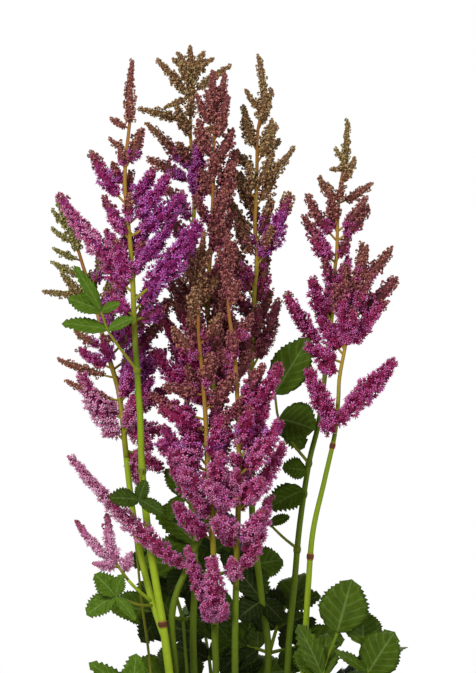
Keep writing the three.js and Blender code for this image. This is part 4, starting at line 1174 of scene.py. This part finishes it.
def add_leaflet(skin, hub, tip, width, up, number, shade):
    """A toothed blade from a hub to a tip, folded up a little along its midrib and quilted by its veins.

    Its shade is one of the map's columns, from the darkest to the lightest, painted shade to painted light.
    """
    hub, tip = np.asarray(hub, float), np.asarray(tip, float)
    length = np.linalg.norm(tip - hub)
    along = (tip - hub) / length
    across = unit(np.cross(up, along))
    raised = np.cross(along, across)
    rng = np.random.default_rng(LEAFLET_SEED + number)
    lift_at = blade_relief(width, length, rng)
    outline = BROAD_ROWS if width > WIDE_LEAFLET else NARROW_ROWS
    ragged = rng.uniform(*LEAFLET["ragged"], (len(outline), 2))
    sides = np.linspace(-1, 1, 2 * LEAFLET["columns"] + 1)
    cell, underside = number % (BLADE_ROWS - 1), BLADE_ROWS - 1
    top, low, top_places, low_places = [], [], [], []
    for row, (share, swell) in enumerate(outline):
        lean = 0.1 * min(1, share * 3) * (1 - share)
        half = swell * width * LEAFLET["widening"] / 2
        for side in sides:
            place = share + lean * abs(side) ** 1.3
            reach = side * half * ragged[row, int(side > 0)]
            lift = lift_at(row, share, side, reach)
            point = hub + along * (place * length) + across * reach + raised * lift
            thick = LEAFLET["thickness"] * (1 - side * side) * (0.4 + 0.6 * (1 - share))
            top.append(point + raised * thick * 0.5)
            low.append(point - raised * thick * 0.5)
            shares = (side + 1) / 2, min(1, place)
            inset = [CELL_INSET + (1 - 2 * CELL_INSET) * part for part in shares]
            top_places.append(cell_place(shade, cell, *inset))
            low_places.append(cell_place(shade, underside, *inset))
    ends = np.array([hub, tip + raised * LEAFLET["fold"]])
    end_places = [cell_place(shade, cell, 0.5, end) for end in (END_INSET, 1 - END_INSET)]
    places = np.vstack([top_places, low_places, end_places])
    skin.add(np.vstack([top, low, ends]), blade_faces(len(outline), len(sides)), places)


def add_petiole(skin, points, tone=0.3, girth=1.0, rooted=False):
    """The stalk of a leaf. It narrows on its way, and swells a little at its end."""
    line = curve_through(points)

    def radius_at(share):
        at_end = max(0, share * 12 - 11)
        narrowed = mix(1, PETIOLE["narrowed"], share)
        return girth * PETIOLE["radius"] * narrowed * (1 + PETIOLE["swell"] * at_end)

    if rooted:
        line = line.rooted()
    add_tube(skin, line, radius_at, step=3, sides=8, tone=tone, slot=1)


def add_leaf(skin, leaf, first, rooted=False):
    """The petioles and leaflets of a leaf. Leaflets are numbered on from the first one's number."""
    for index, points in enumerate(leaf["petioles"]):
        if rooted:
            add_petiole(skin, points, rooted=index == 0)
        else:
            add_petiole(skin, points, **STEM_PETIOLE)
    for hub, *leaflets in leaf["fans"]:
        for tip, width in leaflets:
            add_leaflet(skin, hub, tip, width, LEAF_UP, first, leaf["shade"])
            first += 1
    return first


def step_from(start, bearing, distance):
    way = math.radians(bearing)
    return start[0] + distance * math.cos(way), start[1] + distance * math.sin(way)


def mound_shade(number):
    """One of the three darker shades, painted shade for the low mound, mixed over the leaflets."""
    return number * 7 % 5 // 2


def add_mound_leaf(skin, azimuth, root, hub, height, pitch, size, first):
    """A petiole that ends in three groups of leaflets, arching outwards."""
    angle, rise = math.radians(azimuth), math.radians(pitch)
    out = np.array([math.cos(angle), math.sin(angle), 0])
    side = np.array([-out[1], out[0], 0])
    up = np.array([0, 0, math.cos(rise)]) - out * math.sin(rise)

    def at(beyond, aside):
        arch = MOUND["arch"][0] * beyond**2 + MOUND["arch"][1] * aside**2
        place = out * (hub + beyond * math.cos(rise)) + side * aside
        return place + np.array([0, 0, height + beyond * math.sin(rise)]) - up * arch

    foot = out * root + np.array([0, 0, SOIL_LINE])
    knee = out * mix(root, hub, MOUND["knee"][0])
    knee[2] = mix(SOIL_LINE, height, MOUND["knee"][1])
    add_petiole(skin, [foot, knee, at(0, 0)], rooted=True)
    for bearing, length in MOUND["arms"]:
        end = step_from((0, 0), bearing, length * size)
        half = step_from((0, 0), bearing, length * size * 0.5)
        add_petiole(skin, [at(0, 0), at(*half), at(*end)])
        for start, leaflets in ((end, MOUND["leaflets"]), (half, MOUND["lower"])):
            for turn, reach, width in leaflets:
                tip = step_from(start, bearing + turn, reach * size)
                add_leaflet(skin, at(*start), at(*tip), width * size, up, first, mound_shade(first))
                first += 1
    return first


# --- stalks

# The tones of the lit stalks, lightened with painted light, and of the others, darker with painted shade:
# (height, tone), from the lowest.
LIT_STALK_TONES = {
    "left": [(150, 0.4), (230, 0.1), (330, 0.02), (440, 0.2), (500, 0.5)],
    "right_front": [(150, 0.3), (250, 0.16), (330, 0.12), (420, 0.26), (520, 0.5)],
}
SHADED_STALK_TONES = [(150, 0.45), (250, 0.36), (330, 0.3), (420, 0.34), (520, 0.5)]

# A node: how far it reaches along the stalk, how much thicker it is, and how far its ends lie inside.
JOINT = {"reach": 2.8, "swell": 0.3, "sink": 0.06}


def add_joint(skin, stem, height, joint_tone, stalk_tone):
    """A swollen node, where a leaf or a shoot leaves the stalk. Its colour fades into the stalk's."""
    middle = stem["line"].share_at_height(height)
    reach = JOINT["reach"] / stem["line"].length
    radius = stem_radius(stem, middle)

    def bulge(share):
        return radius * (1 - JOINT["sink"] + (JOINT["sink"] + JOINT["swell"]) * math.sin(math.pi * share))

    def tone(z):
        nearness = 1 - abs(z - height) / JOINT["reach"]
        return mix(stalk_tone(z), joint_tone, min(max(2.2 * nearness, 0), 1))

    around = stem["line"].part(middle - reach, middle + reach)
    add_tube(skin, around, bulge, step=0.5, sides=12, tone=tone, slot=1)


def add_stem(skin, stem, tone, rooted):
    """A stem up to its plume, with its nodes."""
    line = stem["line"].part(0, stem["start"])

    def radius_at(share):
        return stem_radius(stem, share * stem["start"])

    if rooted:
        line = line.rooted()
    add_tube(skin, line, radius_at, step=4, sides=12, tone=tone, slot=1)
    for height, joint_tone in stem.get("joints", ()):
        add_joint(skin, stem, height, joint_tone, tone)


def add_stalk(name, first, materials):
    """The piece of one stalk: the stems that share it, of which the first is rooted, and their leaves."""
    skin = Skin()
    tones = LIT_STALK_TONES.get(name, SHADED_STALK_TONES)

    def tone(z):
        return tone_at(tones, z)

    for index, stem in enumerate(stem for stem in STEMS if stem["stalk"] == name):
        add_stem(skin, stem, tone, rooted=index == 0)
    for leaf in STEM_LEAVES.get(name, []):
        first = add_leaf(skin, leaf, first)
    node = "stalk_" + name
    make_piece("stem_" + name, skin.mesh(node), materials, node)
    return first


# --- materials


def linear(*colour):
    """An sRGB colour from 0 to 255 as a linear one."""
    shares = [part / 255 for part in colour]
    return [s / 12.92 if s <= 0.04045 else ((s + 0.055) / 1.055) ** 2.4 for s in shares] + [1]


class Nodes:
    """Builds one material's node tree."""

    def __init__(self, name, roughness, **constants):
        self.material = bpy.data.materials.new(name)
        self.material.use_nodes = True
        self.tree = self.material.node_tree
        self.shader = self.tree.nodes["Principled BSDF"]
        self.shader.inputs["Roughness"].default_value = roughness
        for socket, value in constants.items():
            self.shader.inputs[socket.replace("_", " ")].default_value = value

    def node(self, kind, inputs=(), **settings):
        node = self.tree.nodes.new(kind)
        for setting, value in settings.items():
            setattr(node, setting, value)
        for socket, value in dict(inputs).items():
            if isinstance(value, bpy.types.NodeSocket):
                self.tree.links.new(value, node.inputs[socket])
            else:
                node.inputs[socket].default_value = value
        return node

    def maths(self, operation, a, b=0.0):
        return self.node("ShaderNodeMath", {0: a, 1: b}, operation=operation).outputs[0]

    def remap(self, value, low=0.0, high=1.0, start=0.0, end=1.0):
        """A value's way from low to high as a way from start to end."""
        return self.node("ShaderNodeMapRange", {0: value, 1: low, 2: high, 3: start, 4: end}).outputs[0]

    def spot(self):
        """The two coordinates of the piece's own map, and both together."""
        place = self.node("ShaderNodeUVMap", uv_map="Tone")
        parts = self.node("ShaderNodeSeparateXYZ", {0: place.outputs[0]})
        return parts.outputs[0], parts.outputs[1], place.outputs[0]

    def ramp(self, share, stops):
        ramp = self.node("ShaderNodeValToRGB", {0: share})
        elements = ramp.color_ramp.elements
        while len(elements) < len(stops):
            elements.new(0.5)
        for element, (place, colour) in zip(elements, stops):
            element.position = place
            element.color = linear(*colour)
        return ramp.outputs[0]

    def mixed(self, share, a, b, blend="MIX"):
        inputs = {0: share, 6: a, 7: b}
        return self.node("ShaderNodeMix", inputs, data_type="RGBA", blend_type=blend).outputs[2]

    def noise(self, place, scale, detail=2.0):
        return self.node("ShaderNodeTexNoise", {"Vector": place, "Scale": scale, "Detail": detail}).outputs[0]

    def tone_and_shade_patches(self, colour, place, scale, low, high):
        """A colour made lighter and darker in fine patches: random tone on florets and stalks, and painted
        light and shade of the folds on blades.
        """
        patch = self.remap(self.noise(place, scale), start=low, end=high)
        grey = self.node("ShaderNodeCombineColor", {0: patch, 1: patch, 2: patch}).outputs[0]
        return self.mixed(1.0, colour, grey, "MULTIPLY")

    def colour(self, socket):
        self.tree.links.new(socket, self.shader.inputs["Base Color"])

    def bump(self, height, distance, strength):
        bump = self.node("ShaderNodeBump", {"Height": height, "Distance": distance, "Strength": strength})
        self.tree.links.new(bump.outputs[0], self.shader.inputs["Normal"])


# The colours of buds and florets for each tone: their foot, dark with painted shade, their heart, and their
# tips, lilac on petals and a painted highlight on buds.
FLORET_COLOURS = {
    OLIVE: [(64, 60, 26), (116, 108, 56), (184, 180, 112)],
    BROWN_OLIVE: [(66, 46, 28), (124, 92, 58), (192, 160, 114)],
    RED_BROWN: [(68, 34, 31), (124, 69, 59), (192, 130, 114)],
    WINE: [(60, 22, 32), (114, 48, 58), (178, 100, 114)],
    MAGENTA: [(66, 10, 36), (170, 32, 92), (228, 142, 212)],
    PURPLE: [(60, 12, 50), (156, 32, 118), (210, 138, 230)],
    PINK: [(74, 18, 44), (182, 48, 104), (234, 158, 218)],
    PALE_PINK: [(132, 62, 96), (208, 128, 168), (252, 214, 238)],
}
HEART = 0.3

# The colours of stalks for each tone, and of blades for each shade, from the darkest. The blades' shades
# are one green, darkened with painted shade and lightened with painted light.
STALK_COLOURS = [
    (0.0, (146, 168, 36)), (0.2, (122, 144, 26)), (0.36, (74, 92, 14)), (0.5, (140, 136, 36)),
    (0.66, (160, 126, 52)), (0.85, (136, 84, 44)), (1.0, (84, 50, 28)),
]
BLADE_COLOURS = [(0.0, (30, 40, 10)), (0.34, (48, 64, 14)), (0.67, (60, 80, 12)), (1.0, (70, 96, 20))]
VEIN_COLOUR = linear(128, 152, 84)
UNDERSIDE_COLOURS = linear(70, 98, 40), linear(112, 134, 70)
# Veins: where the midrib starts and stops to fade, as shares of a cell, the slant, width and strength of
# the side veins, and how clear they all are on the darkest and on the lightest blades.
VEINS = {"midrib": (0.012, 0.035), "slant": 0.6, "width": 0.16, "strength": 0.55, "clear": (0.16, 0.4)}


def plume_material():
    nodes = Nodes("florets", 0.7, Specular_IOR_Level=0.2)
    tone, along, place = nodes.spot()
    foot, heart, tips = (
        nodes.ramp(tone, [(station, colours[part]) for station, colours in FLORET_COLOURS.items()])
        for part in range(3)
    )
    share = nodes.maths("DIVIDE", along, FLORET_TOP)
    inner = nodes.remap(share, 0.0, HEART)
    outer = nodes.remap(share, HEART, 1.0)
    colour = nodes.mixed(outer, nodes.mixed(inner, foot, heart), tips)
    nodes.colour(nodes.tone_and_shade_patches(colour, place, scale=90.0, low=0.74, high=1.25))
    return nodes.material


def stalk_material():
    nodes = Nodes("stalks", 0.5, Specular_IOR_Level=0.12)
    tone, along, place = nodes.spot()
    colour = nodes.ramp(tone, STALK_COLOURS)
    nodes.colour(nodes.tone_and_shade_patches(colour, place, scale=60.0, low=0.82, high=1.14))
    return nodes.material


def blade_veins(nodes, u, level):
    """How much a spot lies on the midrib or on one of the slanting side veins, which are weaker."""
    across = nodes.maths("FRACT", nodes.maths("MULTIPLY", u, BLADE_COLUMNS))
    along = nodes.maths("FRACT", level)
    aside = nodes.maths("ABSOLUTE", nodes.maths("SUBTRACT", across, 0.5))
    midrib = nodes.remap(aside, *VEINS["midrib"], 1.0, 0.0)
    slant = nodes.maths("SUBTRACT", along, nodes.maths("MULTIPLY", aside, VEINS["slant"]))
    beat = nodes.maths("FRACT", nodes.maths("MULTIPLY", slant, LEAFLET["veins"]))
    near = nodes.maths("ABSOLUTE", nodes.maths("SUBTRACT", beat, 0.5))
    vein = nodes.remap(near, 0.0, VEINS["width"], 1.0, 0.0)
    return nodes.maths("MAXIMUM", midrib, nodes.maths("MULTIPLY", vein, VEINS["strength"]))


def leaf_material(name, roughness, shine):
    nodes = Nodes(name, roughness, Specular_IOR_Level=shine)
    u, v, place = nodes.spot()
    level = nodes.maths("MULTIPLY", v, BLADE_ROWS / STALK_BAND)
    veins = blade_veins(nodes, u, level)
    column = nodes.maths("FLOOR", nodes.maths("MULTIPLY", u, BLADE_COLUMNS))
    shade = nodes.maths("DIVIDE", column, BLADE_COLUMNS - 1)
    blade = nodes.ramp(shade, BLADE_COLOURS)
    clear = nodes.remap(shade, 0.0, 1.0, *VEINS["clear"])
    veined = nodes.mixed(nodes.maths("MULTIPLY", veins, clear), blade, VEIN_COLOUR)
    under = nodes.maths("GREATER_THAN", level, BLADE_ROWS - 1)
    colour = nodes.mixed(under, veined, nodes.mixed(veins, *UNDERSIDE_COLOURS))
    # Painted light and shade: patches of light and dark for the blades' folds.
    nodes.colour(nodes.tone_and_shade_patches(colour, place, scale=26.0, low=0.47, high=1.54))
    return nodes.material


def grainy_material(name, roughness, shine, grain, stops, bump=None):
    """A material of grains. Grain is a noise's (scale, detail), and bump is (distance, strength, grain)."""
    nodes = Nodes(name, roughness, Specular_IOR_Level=shine)
    place = nodes.node("ShaderNodeTexCoord").outputs["Object"]
    nodes.colour(nodes.ramp(nodes.noise(place, *grain), stops))
    if bump:
        distance, strength, relief = bump
        nodes.bump(nodes.noise(place, *relief), distance, strength)
    return nodes.material


def pot_material():
    stops = [(0.35, (40, 41, 43)), (0.62, (58, 58, 59)), (0.8, (92, 86, 78))]
    return grainy_material("pot_plastic", 0.5, 0.45, (26.0, 6.0), stops, (0.0003, 0.3, (420.0,)))


def soil_material():
    stops = [(0.3, (24, 16, 11)), (0.5, (52, 36, 25)), (0.64, (84, 60, 42)), (0.74, (120, 92, 66))]
    return grainy_material("potting_soil", 0.92, 0.25, (210.0, 6.0), stops, (0.0015, 0.8, (380.0, 6.0)))


def chip_material():
    stops = [(0.35, (58, 38, 26)), (0.55, (104, 74, 50)), (0.7, (150, 120, 88))]
    return grainy_material("bark_chips", 0.85, 0.25, (120.0, 3.0), stops)


# --- pot and soil pieces


def lathe_mesh(name, profile, sides, bump=None):
    """A closed turned body. The profile starts and ends near the axis, where it is capped by a fan."""
    angles = np.linspace(0, 2 * math.pi, sides, endpoint=False)
    profile = np.asarray(profile, float)
    points = np.stack([
        profile[:, :1] * np.cos(angles), profile[:, :1] * np.sin(angles),
        np.repeat(profile[:, 1:], sides, axis=1),
    ], axis=-1).reshape(-1, 3)
    if bump:
        points[:, 2] += bump(points)
    points = np.vstack([points, points[:sides].mean(0), points[-sides:].mean(0)])
    mesh = bpy.data.meshes.new(name)
    mesh.from_pydata((points * MM).tolist(), [], ringed_faces(len(profile), sides).tolist())
    mesh.update()
    mesh.shade_smooth()
    return mesh


def wall_radius(height):
    return mix(POT["foot"], POT["top"], height / POT["height"])


def pot_profile():
    """The pot's (radius, height) rows, from its underside up the wall, over the lip and down inside."""
    height, wall, floor, lip = POT["height"], POT["wall"], POT["floor"], POT["lip"]
    rim = height - POT["lip_drop"]
    inner = wall_radius(height) - wall
    outside = [(1, 0.8), (52, 0.8), (56, 0), (wall_radius(0) - 1.2, 0), (wall_radius(0), 1.2)]
    for step in range(1, 24):
        z = rim * step / 24
        outside.append((wall_radius(z), z))
    lip_line = [
        (wall_radius(rim), rim - 0.6), (wall_radius(rim) + 0.8, rim), (lip - 1.2, rim),
        (lip - 0.2, rim + 0.7), (lip, rim + 2), (lip, rim + 8), (lip - 0.1, height - 2),
        (lip - 0.5, height - 0.7), (lip - 1.6, height), (inner + 1.2, height), (inner, height - 1.2),
    ]
    inside = [(wall_radius(z) - wall, z) for z in np.linspace(height - 8, floor + 3, 12)]
    inside += [(wall_radius(floor) - wall - 2, floor), (1, floor)]
    return outside + lip_line + inside


def add_pot(material):
    mesh = lathe_mesh("pot_body", pot_profile(), POT["sides"])
    piece = make_piece("nursery_pot", mesh, [material], "pot")
    bpy.context.view_layer.objects.active = piece
    for index in range(POT["drains"]):
        angle = (index + 0.5) / POT["drains"] * 2 * math.pi
        place = (POT["drain_ring"] * MM * math.cos(angle), POT["drain_ring"] * MM * math.sin(angle), 0)
        bpy.ops.mesh.primitive_cylinder_add(vertices=32, radius=POT["drain"] * MM, depth=0.03, location=place)
        cutter = bpy.context.object
        cut = piece.modifiers.new("drain", "BOOLEAN")
        cut.operation, cut.solver, cut.object = "DIFFERENCE", "EXACT", cutter
        with bpy.context.temp_override(object=piece, active_object=piece):
            bpy.ops.object.modifier_apply(modifier=cut.name)
        bpy.data.objects.remove(cutter)
    mesh.set_sharp_from_angle(angle=math.radians(40))


def soil_radius(height):
    return wall_radius(height) - POT["wall"] - SOIL["gap"]


def soil_relief(points):
    """How far the soil's upper side rises or falls at each point, level towards the pot's wall."""
    x, y, z = points.T
    rim = wall_radius(SOIL["top"]) - POT["wall"]
    inward = np.clip((1 - np.hypot(x, y) / rim) / 0.33, 0, 1)
    swell = np.sin(x * 0.11) * np.cos(y * 0.09 + 1) + 0.6 * np.sin(x * 0.31 + y * 0.23)
    coarse = 0.5 * np.sin(x * 1.3 + 2 * np.sin(y * 0.9)) * np.sin(y * 1.5 + np.sin(x * 0.7))
    fine = 0.25 * np.sin(x * 2.9) * np.sin(y * 3.1)
    return np.where(z > SOIL["top"] - 1, SOIL["relief"] * inward * swell + (coarse + fine), 0)


def add_chip(body, rim, rng):
    """A flat chip of bark, somewhere on the soil."""
    far, turn = rim * 0.97 * math.sqrt(rng.uniform()), rng.uniform(0, ABOUT_A_TURN)
    spot = np.array([[far * math.cos(turn), far * math.sin(turn), SOIL["top"]]])
    height = SOIL["top"] + soil_relief(spot)[0] + CHIP["above"]
    size = rng.uniform(*CHIP["size"])
    made = bmesh.ops.create_icosphere(body, subdivisions=1, radius=size * MM)
    stretch = rng.uniform(*CHIP["stretch"], 3) * CHIP["shape"]
    spin = rng.uniform(0, ABOUT_A_TURN)
    c, s = math.cos(spin), math.sin(spin)
    for vert in made["verts"]:
        x, y, z = np.array(vert.co) * stretch * rng.uniform(*CHIP["rough"])
        vert.co = (spot[0, 0] * MM + x * c - y * s, spot[0, 1] * MM + x * s + y * c, height * MM + z)
    for face in {face for vert in made["verts"] for face in vert.link_faces}:
        face.material_index = 1


def add_soil(material, chips):
    """The soil, strewn with chips of bark."""
    top, bottom, rim = SOIL["top"], SOIL["bottom"], soil_radius(SOIL["top"])
    profile = [(1, bottom), (soil_radius(bottom), bottom), (soil_radius(top - 1.5), top - 1.5)]
    profile += [(max(rim * share, 1), top) for share in np.linspace(1, 0, SOIL["rings"])]
    mesh = lathe_mesh("soil_body", profile, SOIL["sides"], soil_relief)
    body = bmesh.new()
    body.from_mesh(mesh)
    rng = np.random.default_rng(CHIP_SEED)
    for chip in range(SOIL["chips"]):
        add_chip(body, rim, rng)
    body.to_mesh(mesh)
    body.free()
    make_piece("potting_soil", mesh, [material, chips], "soil")


# --- making the plant

grow_stems()
STALKS = stalk_material()
BLADES = leaf_material("blades", 0.6, 0.05)
GLOSSY_BLADES = leaf_material("glossy_blades", 0.34, 0.08)
FLORETS = plume_material()

for order, stem in enumerate(STEMS):
    add_plume(stem, order, [FLORETS, STALKS])

leaflets = 0
for name in dict.fromkeys(stem["stalk"] for stem in STEMS):
    leaflets = add_stalk(name, leaflets, [BLADES, STALKS])
for side, leaf in LONE_LEAVES.items():
    skin = Skin()
    leaflets = add_leaf(skin, leaf, leaflets, rooted=True)
    blades = GLOSSY_BLADES if leaf["glossy"] else BLADES
    make_piece(f"foliage_{side}", skin.mesh(f"leaf_{side}"), [blades, STALKS], f"leaf_{side}")
for number, leaf in enumerate(MOUND_LEAVES, start=1):
    skin = Skin()
    leaflets = add_mound_leaf(skin, *leaf, leaflets)
    node = f"leaf_mound_{number}"
    make_piece(f"foliage_mound_{number}", skin.mesh(node), [BLADES, STALKS], node)

add_pot(pot_material())
add_soil(soil_material(), chip_material())

# --- stage, light and camera

FLOOR = {"radius": 2.5, "drop": 0.0002, "colour": (0.82, 0.82, 0.81, 1)}
# The strength of the white surroundings as a light, and as the camera sees them.
SURROUNDINGS = {"light": 0.34, "seen": 1.0}
# Lamps: place, size and power. All of them aim at one point of the plant.
LAMPS = {
    "key": ((-0.9, -1.8, 1.6), 0.7, 44),
    "fill": ((1.6, -1.2, 0.9), 1.2, 10),
    "back": ((0.3, 1.8, 1.6), 1.2, 22),
}
LAMP_AIM = (0, 0, 0.42)
CAMERA = {"distance": 5.0, "x": 0.0065, "z": 0.48375, "span": 0.43745, "sensor": 36.0}


def add_floor():
    place = (0, 0, -FLOOR["drop"])
    bpy.ops.mesh.primitive_circle_add(vertices=96, radius=FLOOR["radius"], fill_type="NGON", location=place)
    floor = bpy.context.object
    floor.name = "floor"
    nodes = Nodes("floor_paint", 0.8, Base_Color=FLOOR["colour"])
    floor.data.materials.append(nodes.material)


def add_world():
    world = bpy.data.worlds.new("studio")
    bpy.context.scene.world = world
    world.use_nodes = True
    tree = world.node_tree
    back = tree.nodes["Background"]
    back.inputs["Color"].default_value = (1, 1, 1, 1)
    rays = tree.nodes.new("ShaderNodeLightPath")
    strength = tree.nodes.new("ShaderNodeMix")
    strength.inputs[2].default_value = SURROUNDINGS["light"]
    strength.inputs[3].default_value = SURROUNDINGS["seen"]
    tree.links.new(rays.outputs["Is Camera Ray"], strength.inputs[0])
    tree.links.new(strength.outputs[0], back.inputs["Strength"])


def add_lamp(name, place, size, power):
    lamp = bpy.data.lights.new(name, "AREA")
    lamp.energy = power
    lamp.size = size
    holder = bpy.data.objects.new(name, lamp)
    holder.location = place
    aim = np.array(LAMP_AIM) - np.array(place)
    holder.rotation_mode = "QUATERNION"
    holder.rotation_quaternion = Vector(aim).to_track_quat("-Z", "Y")
    bpy.context.scene.collection.objects.link(holder)


def add_camera():
    data = bpy.data.cameras.new("camera")
    data.sensor_width = CAMERA["sensor"]
    data.lens = CAMERA["sensor"] * CAMERA["distance"] / CAMERA["span"]
    data.clip_end = 50
    camera = bpy.data.objects.new("camera", data)
    camera.location = (CAMERA["x"], -CAMERA["distance"], CAMERA["z"])
    camera.rotation_euler = (math.pi / 2, 0, 0)
    bpy.context.scene.collection.objects.link(camera)
    bpy.context.scene.camera = camera


add_floor()
add_world()
for name, (place, size, power) in LAMPS.items():
    add_lamp(name, place, size, power)
add_camera()
bpy.context.scene.view_settings.view_transform = "Standard"
